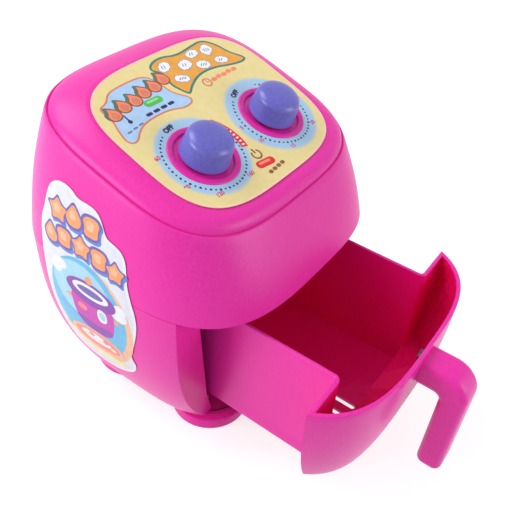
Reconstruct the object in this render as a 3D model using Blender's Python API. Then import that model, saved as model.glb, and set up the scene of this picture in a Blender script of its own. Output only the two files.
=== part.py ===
# Toy air fryer with a pull-out drawer and two turning knobs.
# Metres, front to -Y, left to -X, standing on z = 0.
# The drawer is drawn pulled out, as in the photograph.
import math

import bmesh
import bpy
from mathutils import Matrix, Vector

# Clearances
GAP = 0.0003
SCREW_FIT = 0.0003
SHAFT_FIT = 0.0003
CUT_OVERRUN = 0.004
MERGE_DISTANCE = 0.00003

# Counts of facets
OVAL_POINTS = 64
ARC_POINTS = 34
ROUND_POINTS = 40
SMALL_ROUND_POINTS = 16
CORNER_POINTS = 7
STEP_POINTS = 5
SLOT_END_POINTS = 9
HANDLE_CORNER_POINTS = 5
TURN_START_SHARE = 0.37
SHARP_DEGREES = 32.0

# Housing outline at the split
BODY_HALF_WIDTH = 0.0825
BODY_HALF_DEPTH = 0.0810
BODY_EXPONENT = 3.4
SPLIT_Z = 0.1100
BASE_Z = 0.0081

# Lower housing
LOWER_WIDTH_SHARE = 0.27
LOWER_DEPTH_SHARE = 0.24
LOWER_CURVE_POWER = 3.1
LOWER_WALL = 0.0024
RECESS_WALL = 0.0019
LOWER_LEVEL_SHARES = (0.0, 0.03, 0.07, 0.12, 0.18, 0.26, 0.36, 0.5, 0.7, 1.0)
BULKHEAD_SET_BACK = 0.0325
BULKHEAD_Y = BULKHEAD_SET_BACK - BODY_HALF_DEPTH
BULKHEAD_WALL = 0.0022
STRIP_TOP_Z = 0.0125
JAMB_WIDTH_LOW = 0.0067
JAMB_WIDTH_STRIP = 0.0071
JAMB_WIDTH_KNEE = 0.0133
JAMB_WIDTH_HIGH = 0.0158
HOLE_KNEE_Z = 0.0300

# Upper housing
UPPER_WALL = 0.0024
CREASE_SIDE_INSET = 0.0091
CREASE_END_INSET = 0.0187
CREASE_HALF_WIDTH = BODY_HALF_WIDTH - CREASE_SIDE_INSET
CREASE_HALF_DEPTH = BODY_HALF_DEPTH - CREASE_END_INSET
CREASE_CENTRE_Y = -0.0022
CREASE_EXPONENT = 3.45
CREASE_Z = 0.1695
CREASE_TILT = math.radians(16.5)
UPPER_BULGE = 0.0016
UPPER_SIDE_SHARES = (0.0, 0.12, 0.25, 0.4, 0.55, 0.7, 0.85, 1.0)
LEDGE_WIDTH = 0.0010
BEVEL_SHARES = (0.0, 0.12, 0.25, 0.4, 0.55, 0.7, 0.85, 1.0)

# Tilted plateau with the printed label
PLATEAU_Z = 0.1780
PLATEAU_TILT = math.radians(20.0)
PLATEAU_CENTRE_Y = -0.0090
PLATEAU_EXPONENT = 3.6
LABEL_SIDE_INSET = 0.0144
LABEL_END_INSET = 0.0166
LABEL_HALF_WIDTH = CREASE_HALF_WIDTH - LABEL_SIDE_INSET
LABEL_HALF_DEPTH = CREASE_HALF_DEPTH - LABEL_END_INSET
LABEL_THICKNESS = 0.0005
LABEL_MARGIN = 0.0012

# Knobs and their collars on the plateau
DIAL_X = 0.0280
DIAL_SLOPE_Y = -0.0252
COLLAR_RADIUS = 0.0186
COLLAR_HEIGHT = 0.0012
COLLAR_ROOT = 0.0012
SLEEVE_RADIUS = 0.0062
SLEEVE_LENGTH = 0.0060
KNOB_RADIUS = 0.0132
KNOB_SHOULDER_RADIUS = 0.0119
KNOB_FOOT_ROUND = 0.0006
KNOB_SHOULDER_HEIGHT = 0.0086
KNOB_HEIGHT = 0.0141
KNOB_LIFT = 0.0003
KNOB_CROWN_EXPONENT = 2.7
KNOB_DOME_SHARES = (0.1, 0.2, 0.3, 0.4, 0.5, 0.6, 0.7, 0.8, 0.9)
SHAFT_RADIUS = 0.0030
SHAFT_BORE_RADIUS = 0.0010
SHAFT_BORE_DEPTH = 0.0080
WASHER_RADIUS = 0.0058
WASHER_THICKNESS = 0.0010
KNOB_SCREW_RADIUS = 0.0007
KNOB_SCREW_HEAD_RADIUS = 0.0024
KNOB_SCREW_HEAD_HEIGHT = 0.0014
KNOB_SCREW_LENGTH = 0.0062

# Feet and base plate
FOOT_RADIUS = 0.0240
FOOT_EDGE = 0.0012
FOOT_FRONT_SIDE_INSET = 0.0017
FOOT_FRONT_END_INSET = 0.0006
FOOT_REAR_SIDE_INSET = 0.0012
FOOT_REAR_END_INSET = 0.0106
STUD_RADIUS = 0.0035
STUD_SIDE_INSET = 0.0167
STUD_END_INSET = 0.0231
STUD_TOP_Z = 0.0146
TAB_RADIUS = 0.0125
TAB_THICKNESS = 0.0030
PLATE_THICKNESS = 0.0022
RAIL_X = 0.0260
RAIL_WIDTH = 0.0050
RAIL_FRONT_INSET = 0.0054

# Screws that join the two housings
LUG_RADIUS = 0.0090
LUG_THICKNESS = 0.0040
LUG_SINK = 0.0006
LUG_FRONT_SET_BACK = 0.0115
LUG_REAR_SET_IN = 0.0235
LUG_FRONT_REACH = 0.0118
LUG_REAR_REACH = 0.0127
BOSS_HEIGHT = 0.0100
SCREW_RADIUS = 0.0015
SCREW_HEAD_RADIUS = 0.0032
SCREW_HEAD_HEIGHT = 0.0020
SCREW_BITE = 0.0070

# Drawer, given in its shut place
DRAWER_PULL = 0.0700
DRAWER_SIDE_CLEARANCE = 0.0036
DRAWER_WALL = 0.0020
DRAWER_TOP_Z = 0.0976
DRAWER_BOTTOM_Z = 0.0246
DRAWER_REAR_SET_IN = 0.0310
DRAWER_REAR_Y = BODY_HALF_DEPTH - DRAWER_REAR_SET_IN
DRAWER_REAR_ROUND = 0.0080
PANEL_SCALE_SHARE = 0.97
PANEL_BOTTOM_Z = 0.0364
PANEL_FLANGE_CLEARANCE = 0.0029
PANEL_FLANGE_Y = BULKHEAD_Y - PANEL_FLANGE_CLEARANCE
DRAWER_STEP_DEPTH = 0.0036
DRAWER_STEP_Y = PANEL_FLANGE_Y - DRAWER_STEP_DEPTH
PANEL_WALL = 0.0022
PANEL_INNER_ROUND = 0.0040
PANEL_LEVEL_SHARES = (0.0, 0.12, 0.28, 0.5, 0.75, 1.0)
SLOT_PITCH = 0.0090
SLOT_WIDTH = 0.0036
SLOT_INNER_X = 0.0040
SLOT_COUNT = 2
SLOT_FRONT_MARGIN = 0.0070
SLOT_LENGTH = 0.0125
SLOT_FRONT_Y = DRAWER_STEP_Y + SLOT_FRONT_MARGIN
SLOT_REAR_Y = SLOT_FRONT_Y + SLOT_LENGTH

# Handle, along the drawer's middle
HANDLE_WIDTH = 0.0180
HANDLE_ROUND = 0.0040
ARM_TOP_Z = 0.0922
ARM_UNDER_Z = 0.0765
GRIP_OUTER_REACH = 0.0247
GRIP_INNER_REACH = 0.0105
GRIP_OUTER_Y = -BODY_HALF_DEPTH - GRIP_OUTER_REACH
GRIP_INNER_Y = -BODY_HALF_DEPTH - GRIP_INNER_REACH
GRIP_BOTTOM_Z = 0.0175
BEND_OUTER_ROUND = 0.0150
BEND_INNER_ROUND = 0.0040
BEND_SHARES = (0.0, 0.125, 0.25, 0.375, 0.5, 0.625, 0.75, 0.875, 1.0)
GRIP_END_SHARES = (0.0, 0.2, 0.4, 0.6, 0.75, 0.88, 0.96)
GRIP_END_ROUND = 0.0065
HANDLE_SCREW_UPPER_Z = 0.0885
HANDLE_SCREW_LOWER_Z = 0.0802

# Side label on the left wall
SIDE_LABEL_THICKNESS = 0.0004
SIDE_LABEL_Y = 0.0080
SIDE_LABEL_Z = 0.0980
SIDE_LABEL_HALF_WIDTH = 0.0345
SIDE_LABEL_HALF_HEIGHT = 0.0605
SIDE_LABEL_RING_SHARES = (1.0, 0.88, 0.76, 0.64, 0.52, 0.4, 0.28, 0.16)
SIDE_LABEL_OUTLINE_SHARES = (
    (0.533, 0.992),
    (0.383, 1.008),
    (0.226, 0.988),
    (0.101, 0.936),
    (-0.043, 0.932),
    (-0.197, 0.922),
    (-0.307, 0.881),
    (-0.374, 0.817),
    (-0.446, 0.721),
    (-0.586, 0.701),
    (-0.730, 0.668),
    (-0.812, 0.595),
    (-0.835, 0.473),
    (-0.852, 0.350),
    (-0.925, 0.217),
    (-0.986, 0.078),
    (-0.988, -0.089),
    (-0.887, -0.334),
    (-0.780, -0.509),
    (-0.881, -0.615),
    (-0.757, -0.774),
    (-0.400, -0.916),
    (-0.032, -0.979),
    (0.386, -0.944),
    (0.612, -0.860),
    (0.783, -0.688),
    (0.916, -0.481),
    (0.991, -0.258),
    (1.003, -0.031),
    (0.968, 0.202),
    (0.974, 0.380),
    (0.933, 0.562),
    (0.829, 0.688),
    (0.765, 0.825),
    (0.678, 0.932),
)

# The origin stands under the middle of the whole, pulled-out drawer and all
MIDDLE_Y = (DRAWER_PULL + GRIP_OUTER_REACH) / 2.0
IN_PLACE = Matrix.Translation((0.0, MIDDLE_Y, 0.0))

# Colours
PINK = (0.84, 0.03, 0.31, 1.0)
PURPLE = (0.11, 0.10, 0.52, 1.0)
YELLOW = (0.83, 0.70, 0.30, 1.0)
SKY = (0.35, 0.62, 0.86, 1.0)
STEEL = (0.60, 0.61, 0.63, 1.0)

for old in list(bpy.data.objects):
    bpy.data.objects.remove(old, do_unlink=True)


def material(name, colour, metal, rough):
    """One Principled material of its own."""
    made = bpy.data.materials.new(name)
    made.use_nodes = True
    shader = made.node_tree.nodes["Principled BSDF"]
    shader.inputs["Base Color"].default_value = colour
    shader.inputs["Metallic"].default_value = metal
    shader.inputs["Roughness"].default_value = rough
    return made


def piece(name, bm, colour=PINK, place=None, metal=0.0, rough=0.3):
    """Turn a bmesh into a named object with outward faces."""
    bmesh.ops.recalc_face_normals(bm, faces=bm.faces)
    mesh = bpy.data.meshes.new(name)
    bm.to_mesh(mesh)
    bm.free()
    mesh.shade_smooth()
    mesh.set_sharp_from_angle(angle=math.radians(SHARP_DEGREES))
    made = bpy.data.objects.new(name, mesh)
    bpy.context.scene.collection.objects.link(made)
    mesh.materials.append(material(name, colour, metal, rough))
    made.matrix_world = IN_PLACE if place is None else IN_PLACE @ place
    return made


def shape(target, helper, operation):
    """Cut a helper out of a piece, or join it on."""
    helper.hide_render = True
    helper.display_type = "WIRE"
    step = target.modifiers.new(helper.name, "BOOLEAN")
    step.operation = operation
    step.solver = "EXACT"
    step.object = helper


def together(solids):
    """Gather separate (bmesh, place) solids into one bmesh."""
    gathered = bmesh.new()
    for solid, place in solids:
        solid.transform(place)
        bmesh.ops.recalc_face_normals(solid, faces=solid.faces)
        mesh = bpy.data.meshes.new("gathered")
        solid.to_mesh(mesh)
        solid.free()
        gathered.from_mesh(mesh)
        bpy.data.meshes.remove(mesh)
    return gathered


def skin(loops, closed=False):
    """Bridge point loops of equal count, with end caps unless closed."""
    bm = bmesh.new()
    rows = []
    for loop in loops:
        rows.append([bm.verts.new(point) for point in loop])
    pairs = list(zip(rows, rows[1:]))
    if closed:
        pairs.append((rows[-1], rows[0]))
    else:
        caps = [bm.faces.new(rows[0]), bm.faces.new(rows[-1])]
        bmesh.ops.triangulate(bm, faces=caps)
    for low, high in pairs:
        for i, vert in enumerate(low):
            after = (i + 1) % len(low)
            bm.faces.new((vert, low[after], high[after], high[i]))
    return bm


def turned(profile, count=ROUND_POINTS):
    """Turn (radius, height) points about Z; a zero radius makes a pole."""
    bm = bmesh.new()
    rows = []
    for radius, height in profile:
        if radius == 0.0:
            rows.append([bm.verts.new((0.0, 0.0, height))] * count)
            continue
        row = []
        for i in range(count):
            turn = math.tau * (i + TURN_START_SHARE) / count
            row.append(bm.verts.new((radius * math.cos(turn), radius * math.sin(turn), height)))
        rows.append(row)
    for low, high in zip(rows, rows[1:]):
        for i in range(count):
            after = (i + 1) % count
            corners = [low[i], low[after], high[after], high[i]]
            kept = list(dict.fromkeys(corners))
            bm.faces.new(kept)
    return bm


def rod(radius, low, high, count=SMALL_ROUND_POINTS):
    """A plain cylinder along Z."""
    return turned(((0.0, low), (radius, low), (radius, high), (0.0, high)), count)


def block(low, high):
    """A box between two corners."""
    base = ((low[0], low[1]), (high[0], low[1]), (high[0], high[1]), (low[0], high[1]))
    return skin([[(x, y, z) for x, y in base] for z in (low[2], high[2])])


def powered(value, exponent):
    return math.copysign(abs(value) ** (2.0 / exponent), value)


def oval(half_width, half_depth, exponent, centre_y, start=0.0, end=math.tau, count=OVAL_POINTS):
    """Plan points of a squared oval, whole or from one angle to another."""
    whole = end - start >= math.tau
    steps = count if whole else count - 1
    points = []
    for i in range(count):
        turn = start + (end - start) * i / steps
        x = half_width * powered(math.cos(turn), exponent)
        y = half_depth * powered(math.sin(turn), exponent)
        points.append((x, centre_y + y))
    return points


def lower_sizes(z, inset=0.0, share=1.0):
    """Half width and half depth of the lower housing at a height."""
    drop = max((SPLIT_Z - z) / (SPLIT_Z - BASE_Z), 0.0) ** LOWER_CURVE_POWER
    half_width = BODY_HALF_WIDTH * (1.0 - LOWER_WIDTH_SHARE * drop) * share - inset
    half_depth = BODY_HALF_DEPTH * (1.0 - LOWER_DEPTH_SHARE * drop) * share - inset
    return half_width, half_depth


def edge_x(z, y):
    """Half width of the lower outline at a height and depth."""
    half_width, half_depth = lower_sizes(z)
    inside = 1.0 - (abs(y) / half_depth) ** BODY_EXPONENT
    return half_width * inside ** (1.0 / BODY_EXPONENT)


def cut_angle(half_depth, plane_y):
    """Angle at which an oval meets a plane across Y."""
    return math.asin((abs(plane_y) / half_depth) ** (BODY_EXPONENT / 2.0))


def front_arc(z, plane_y, inset=0.0, share=1.0, count=ARC_POINTS):
    """The part of the lower outline in front of a plane."""
    half_width, half_depth = lower_sizes(z, inset, share)
    angle = cut_angle(half_depth, plane_y)
    ends = (math.pi + angle, math.tau - angle)
    return oval(half_width, half_depth, BODY_EXPONENT, 0.0, ends[0], ends[1], count)


def rear_arc(z, plane_y, inset):
    """The part of the lower outline behind a plane."""
    half_width, half_depth = lower_sizes(z, inset)
    angle = cut_angle(half_depth, plane_y)
    return oval(half_width, half_depth, BODY_EXPONENT, 0.0, -angle, math.pi + angle)


def at_height(points, z):
    return [(x, y, z) for x, y in points]


def spread(low, high, shares):
    return [low + (high - low) * share for share in shares]


# Lower housing
LOWER_TOP_Z = SPLIT_Z - GAP
lower_levels = spread(BASE_Z, LOWER_TOP_Z, LOWER_LEVEL_SHARES)
lower_loops = []
for level in lower_levels:
    width, depth = lower_sizes(level)
    lower_loops.append(at_height(oval(width, depth, BODY_EXPONENT, 0.0), level))
lower_housing = piece("lower_housing", skin(lower_loops))

cut_levels = [BASE_Z - CUT_OVERRUN] + lower_levels[1:-1] + [SPLIT_Z + CUT_OVERRUN]
bulkhead_back_y = BULKHEAD_Y + BULKHEAD_WALL
front_cut_loops = []
rear_cut_loops = []
for level in cut_levels:
    shell_z = max(level, BASE_Z)
    front_cut_loops.append(at_height(front_arc(shell_z, BULKHEAD_Y, LOWER_WALL), level))
    rear_cut_loops.append(at_height(rear_arc(shell_z, bulkhead_back_y, LOWER_WALL), level))
hollows = [(skin(front_cut_loops), Matrix()), (skin(rear_cut_loops), Matrix())]
shape(lower_housing, piece("lower_hollows", together(hollows)), "DIFFERENCE")

opening_low = (-BODY_HALF_WIDTH - CUT_OVERRUN, -BODY_HALF_DEPTH - CUT_OVERRUN, STRIP_TOP_Z)
opening_high = (BODY_HALF_WIDTH + CUT_OVERRUN, BULKHEAD_Y, SPLIT_Z + CUT_OVERRUN)
shape(lower_housing, piece("lower_front_opening", block(opening_low, opening_high)), "DIFFERENCE")

hole_strip = edge_x(STRIP_TOP_Z, BULKHEAD_Y) - JAMB_WIDTH_STRIP
hole_knee = edge_x(HOLE_KNEE_Z, BULKHEAD_Y) - JAMB_WIDTH_KNEE
hole_levels = (
    (BASE_Z - CUT_OVERRUN, edge_x(BASE_Z, BULKHEAD_Y) - JAMB_WIDTH_LOW),
    (STRIP_TOP_Z, hole_strip),
    (HOLE_KNEE_Z, hole_knee),
    (SPLIT_Z + CUT_OVERRUN, edge_x(SPLIT_Z, BULKHEAD_Y) - JAMB_WIDTH_HIGH),
)
hole_loops = []
for level, half in hole_levels:
    front = BULKHEAD_Y - GAP
    back = bulkhead_back_y + GAP
    hole_plan = ((-half, front), (half, front), (half, back), (-half, back))
    hole_loops.append(at_height(hole_plan, level))
shape(lower_housing, piece("bulkhead_hole", skin(hole_loops)), "DIFFERENCE")

plate_top_z = BASE_Z + PLATE_THICKNESS
recess_top_z = plate_top_z + GAP
recess_loops = []
for level in (BASE_Z - CUT_OVERRUN, recess_top_z):
    width, depth = lower_sizes(BASE_Z, RECESS_WALL)
    recess_loops.append(at_height(oval(width, depth, BODY_EXPONENT, 0.0), level))
shape(lower_housing, piece("plate_recess", skin(recess_loops)), "DIFFERENCE")

lug_front_y = BULKHEAD_Y + LUG_FRONT_SET_BACK
lug_rear_y = BODY_HALF_DEPTH - LUG_REAR_SET_IN
lug_front_x = edge_x(SPLIT_Z, lug_front_y) - LUG_FRONT_REACH
lug_rear_x = edge_x(SPLIT_Z, lug_rear_y) - LUG_REAR_REACH
LUG_PLACES = (
    ("front_left", -lug_front_x, lug_front_y),
    ("front_right", lug_front_x, lug_front_y),
    ("rear_left", -lug_rear_x, lug_rear_y),
    ("rear_right", lug_rear_x, lug_rear_y),
)
lug_top_z = LOWER_TOP_Z - LUG_SINK
lug_under_z = lug_top_z - LUG_THICKNESS
lower_adds = []
lower_bores = []
for label, x, y in LUG_PLACES:
    spot = Matrix.Translation((x, y, 0.0))
    lower_adds.append((rod(LUG_RADIUS, lug_under_z, lug_top_z), spot))
    bore_low = lug_under_z - CUT_OVERRUN
    bore_high = LOWER_TOP_Z + CUT_OVERRUN
    lower_bores.append((rod(SCREW_RADIUS + SCREW_FIT, bore_low, bore_high), spot))

base_half_width, base_half_depth = lower_sizes(BASE_Z)
foot_front_x = base_half_width - FOOT_RADIUS - FOOT_FRONT_SIDE_INSET
foot_rear_x = base_half_width - FOOT_RADIUS - FOOT_REAR_SIDE_INSET
foot_front_y = FOOT_RADIUS + FOOT_FRONT_END_INSET - base_half_depth
foot_rear_y = base_half_depth - FOOT_RADIUS - FOOT_REAR_END_INSET
stud_x = base_half_width - STUD_SIDE_INSET
stud_y = base_half_depth - STUD_END_INSET
FOOT_PLACES = (
    ("front_left", -foot_front_x, foot_front_y, -stud_x, -stud_y),
    ("front_right", foot_front_x, foot_front_y, stud_x, -stud_y),
    ("rear_left", -foot_rear_x, foot_rear_y, -stud_x, stud_y),
    ("rear_right", foot_rear_x, foot_rear_y, stud_x, stud_y),
)
tab_low_z = recess_top_z + GAP
tab_high_z = tab_low_z + TAB_THICKNESS
for label, foot_x, foot_y, x, y in FOOT_PLACES:
    spot = Matrix.Translation((x, y, 0.0))
    lower_adds.append((rod(TAB_RADIUS, tab_low_z, tab_high_z), spot))
    socket_low = tab_low_z - CUT_OVERRUN
    socket_high = tab_high_z + CUT_OVERRUN
    lower_bores.append((rod(STUD_RADIUS + SHAFT_FIT, socket_low, socket_high), spot))
shape(lower_housing, piece("lower_lugs", together(lower_adds)), "UNION")
shape(lower_housing, piece("lower_bores", together(lower_bores)), "DIFFERENCE")


def crease_z(y):
    return CREASE_Z + y * math.tan(CREASE_TILT)


def plateau_z(y):
    return PLATEAU_Z + y * math.tan(PLATEAU_TILT)


def side_loop(share, inset):
    """A loop of the hood's side wall, from the split up to the crease."""
    bulge = UPPER_BULGE * math.sin(math.pi * share)
    half_width = BODY_HALF_WIDTH + (CREASE_HALF_WIDTH - BODY_HALF_WIDTH) * share + bulge - inset
    half_depth = BODY_HALF_DEPTH + (CREASE_HALF_DEPTH - BODY_HALF_DEPTH) * share + bulge - inset
    exponent = BODY_EXPONENT + (CREASE_EXPONENT - BODY_EXPONENT) * share
    points = []
    for x, y in oval(half_width, half_depth, exponent, CREASE_CENTRE_Y * share):
        points.append((x, y, SPLIT_Z + (crease_z(y) - SPLIT_Z - inset) * share))
    return points


def bevel_loop(share, inset):
    """A loop of the rounded bevel, from the ledge in to the plateau."""
    across = 1.0 - math.cos(share * math.pi / 2.0)
    rise = math.sin(share * math.pi / 2.0)
    edge = LEDGE_WIDTH + inset
    low = oval(CREASE_HALF_WIDTH - edge, CREASE_HALF_DEPTH - edge, CREASE_EXPONENT, CREASE_CENTRE_Y)
    top_width = LABEL_HALF_WIDTH + LABEL_MARGIN
    top_depth = LABEL_HALF_DEPTH + LABEL_MARGIN
    high = oval(top_width, top_depth, PLATEAU_EXPONENT, PLATEAU_CENTRE_Y)
    points = []
    for (low_x, low_y), (high_x, high_y) in zip(low, high):
        x = low_x + (high_x - low_x) * across
        y = low_y + (high_y - low_y) * across
        low_z = crease_z(low_y)
        z = low_z + (plateau_z(high_y) - low_z) * rise - inset
        points.append((x, y, z))
    return points


# Upper housing
upper_loops = [bevel_loop(share, UPPER_WALL) for share in reversed(BEVEL_SHARES)]
upper_loops += [side_loop(share, UPPER_WALL) for share in reversed(UPPER_SIDE_SHARES[:-1])]
upper_loops += [side_loop(share, 0.0) for share in UPPER_SIDE_SHARES]
upper_loops += [bevel_loop(share, 0.0) for share in BEVEL_SHARES]
upper_housing = piece("upper_housing", skin(upper_loops))

PLATEAU_PLACE = Matrix.Translation((0.0, 0.0, PLATEAU_Z)) @ Matrix.Rotation(PLATEAU_TILT, 4, "X")
boss_low_z = SPLIT_Z + LUG_SINK
boss_high_z = boss_low_z + BOSS_HEIGHT
housing_screw_seat = lug_under_z - GAP
housing_screw_length = boss_low_z + SCREW_BITE - housing_screw_seat
upper_adds = []
upper_bores = []
for label, x, y in LUG_PLACES:
    spot = Matrix.Translation((x, y, 0.0))
    upper_adds.append((rod(LUG_RADIUS, boss_low_z, boss_high_z), spot))
    bore_high = housing_screw_seat + housing_screw_length + SCREW_FIT
    upper_bores.append((rod(SCREW_RADIUS + SCREW_FIT, boss_low_z - CUT_OVERRUN, bore_high), spot))

DIAL_PLACES = (("temperature", -DIAL_X), ("timer", DIAL_X))
for label, x in DIAL_PLACES:
    spot = PLATEAU_PLACE @ Matrix.Translation((x, DIAL_SLOPE_Y, 0.0))
    sleeve_profile = (
        (0.0, -SLEEVE_LENGTH),
        (SLEEVE_RADIUS, -SLEEVE_LENGTH),
        (SLEEVE_RADIUS, -COLLAR_ROOT),
        (COLLAR_RADIUS, -COLLAR_ROOT),
        (COLLAR_RADIUS, COLLAR_HEIGHT),
        (0.0, COLLAR_HEIGHT),
    )
    upper_adds.append((turned(sleeve_profile), spot))
    bore_low = -SLEEVE_LENGTH - CUT_OVERRUN
    bore_high = COLLAR_HEIGHT + CUT_OVERRUN
    upper_bores.append((rod(SHAFT_RADIUS + SHAFT_FIT, bore_low, bore_high), spot))
shape(upper_housing, piece("upper_adds", together(upper_adds)), "UNION")
shape(upper_housing, piece("upper_bores", together(upper_bores)), "DIFFERENCE")

# Knobs with their shafts, washers and screws
knob_low = COLLAR_HEIGHT + KNOB_LIFT
dome_height = KNOB_HEIGHT - KNOB_SHOULDER_HEIGHT
crown_power = 2.0 / KNOB_CROWN_EXPONENT
shaft_end = -SLEEVE_LENGTH - GAP
washer_top = shaft_end - GAP
screw_seat = washer_top - WASHER_THICKNESS - GAP
for label, x in DIAL_PLACES:
    spot = PLATEAU_PLACE @ Matrix.Translation((x, DIAL_SLOPE_Y, 0.0))
    profile = [
        (0.0, shaft_end + SHAFT_BORE_DEPTH),
        (SHAFT_BORE_RADIUS, shaft_end + SHAFT_BORE_DEPTH),
        (SHAFT_BORE_RADIUS, shaft_end),
        (SHAFT_RADIUS, shaft_end),
        (SHAFT_RADIUS, knob_low),
        (KNOB_RADIUS - KNOB_FOOT_ROUND, knob_low),
        (KNOB_RADIUS, knob_low + KNOB_FOOT_ROUND),
        (KNOB_SHOULDER_RADIUS, knob_low + KNOB_SHOULDER_HEIGHT),
    ]
    for share in KNOB_DOME_SHARES:
        turn = share * math.pi / 2.0
        radius = KNOB_SHOULDER_RADIUS * math.cos(turn) ** crown_power
        rise = dome_height * math.sin(turn) ** crown_power
        profile.append((radius, knob_low + KNOB_SHOULDER_HEIGHT + rise))
    profile.append((0.0, knob_low + KNOB_HEIGHT))
    piece(label + "_knob", turned(profile), PURPLE, spot)

    washer_low = washer_top - WASHER_THICKNESS
    washer_hole = KNOB_SCREW_RADIUS + SCREW_FIT
    washer_profile = [
        (washer_hole, washer_low),
        (WASHER_RADIUS, washer_low),
        (WASHER_RADIUS, washer_top),
        (washer_hole, washer_top),
        (washer_hole, washer_low),
    ]
    washer = turned(washer_profile, SMALL_ROUND_POINTS)
    bmesh.ops.remove_doubles(washer, verts=washer.verts, dist=MERGE_DISTANCE)
    piece(label + "_knob_washer", washer, STEEL, spot, 1.0)

    screw_profile = [
        (0.0, screw_seat - KNOB_SCREW_HEAD_HEIGHT),
        (KNOB_SCREW_HEAD_RADIUS, screw_seat - KNOB_SCREW_HEAD_HEIGHT),
        (KNOB_SCREW_HEAD_RADIUS, screw_seat),
        (KNOB_SCREW_RADIUS, screw_seat),
        (KNOB_SCREW_RADIUS, screw_seat + KNOB_SCREW_LENGTH),
        (0.0, screw_seat + KNOB_SCREW_LENGTH),
    ]
    piece(label + "_knob_screw", turned(screw_profile, SMALL_ROUND_POINTS), STEEL, spot, 1.0)

# Printed label on the plateau
slope = 1.0 / math.cos(PLATEAU_TILT)
label_loops = []
for height in (GAP, GAP + LABEL_THICKNESS):
    loop = []
    for x, y in oval(LABEL_HALF_WIDTH, LABEL_HALF_DEPTH, PLATEAU_EXPONENT, PLATEAU_CENTRE_Y):
        loop.append((x, y * slope, height))
    label_loops.append(loop)
control_label = piece("control_label", skin(label_loops), YELLOW, PLATEAU_PLACE)
for label, x in DIAL_PLACES:
    spot = PLATEAU_PLACE @ Matrix.Translation((x, DIAL_SLOPE_Y, 0.0))
    hole_rod = rod(COLLAR_RADIUS + GAP, -CUT_OVERRUN, CUT_OVERRUN, ROUND_POINTS)
    hole = piece("label_hole_" + label, hole_rod, place=spot)
    shape(control_label, hole, "DIFFERENCE")

# Base plate with the two rails that carry the drawer
plate_width, plate_depth = lower_sizes(BASE_Z, RECESS_WALL + GAP)
plate_plan = oval(plate_width, plate_depth, BODY_EXPONENT, 0.0)
plate_loops = [at_height(plate_plan, BASE_Z), at_height(plate_plan, plate_top_z)]
base_plate = piece("base_plate", skin(plate_loops))
rail_top_z = DRAWER_BOTTOM_Z - GAP
rail_root_z = plate_top_z - PLATE_THICKNESS / 2.0
for label, side in (("left", -1.0), ("right", 1.0)):
    centre = side * RAIL_X
    rail_low = (centre - RAIL_WIDTH / 2.0, RAIL_FRONT_INSET - plate_depth, rail_root_z)
    rail_high = (centre + RAIL_WIDTH / 2.0, DRAWER_REAR_Y, rail_top_z)
    shape(base_plate, piece("rail_" + label, block(rail_low, rail_high)), "UNION")
for label, foot_x, foot_y, x, y in FOOT_PLACES:
    spot = Matrix.Translation((x, y, 0.0))
    hole_low = BASE_Z - CUT_OVERRUN
    hole_high = plate_top_z + CUT_OVERRUN
    hole = piece("plate_hole_" + label, rod(STUD_RADIUS + SHAFT_FIT, hole_low, hole_high), place=spot)
    shape(base_plate, hole, "DIFFERENCE")

# Feet, each a puck with a stud up through the plate
foot_top_z = BASE_Z - GAP
for label, foot_x, foot_y, x, y in FOOT_PLACES:
    profile = (
        (0.0, 0.0),
        (FOOT_RADIUS - FOOT_EDGE, 0.0),
        (FOOT_RADIUS, FOOT_EDGE),
        (FOOT_RADIUS, foot_top_z - FOOT_EDGE),
        (FOOT_RADIUS - FOOT_EDGE, foot_top_z),
        (0.0, foot_top_z),
    )
    foot = piece("foot_" + label, turned(profile), place=Matrix.Translation((foot_x, foot_y, 0.0)))
    stud_root_z = foot_top_z / 2.0
    stud_rod = rod(STUD_RADIUS, stud_root_z, STUD_TOP_Z)
    stud = piece("stud_" + label, stud_rod, place=Matrix.Translation((x, y, 0.0)))
    shape(foot, stud, "UNION")


def screw(name, place, length):
    """A pan-head screw: head below z = 0 of its place, shank above."""
    profile = [
        (0.0, -SCREW_HEAD_HEIGHT),
        (SCREW_HEAD_RADIUS, -SCREW_HEAD_HEIGHT),
        (SCREW_HEAD_RADIUS, 0.0),
        (SCREW_RADIUS, 0.0),
        (SCREW_RADIUS, length),
        (0.0, length),
    ]
    piece(name, turned(profile, SMALL_ROUND_POINTS), STEEL, place, 1.0)


# Screws that join the two housings from below
for label, x, y in LUG_PLACES:
    screw("housing_screw_" + label, Matrix.Translation((x, y, housing_screw_seat)), housing_screw_length)


# Drawer width, from the hole that it runs through
knee_share = (DRAWER_BOTTOM_Z - STRIP_TOP_Z) / (HOLE_KNEE_Z - STRIP_TOP_Z)
hole_at_drawer = hole_strip + (hole_knee - hole_strip) * knee_share
drawer_half_width = hole_at_drawer - DRAWER_SIDE_CLEARANCE


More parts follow.
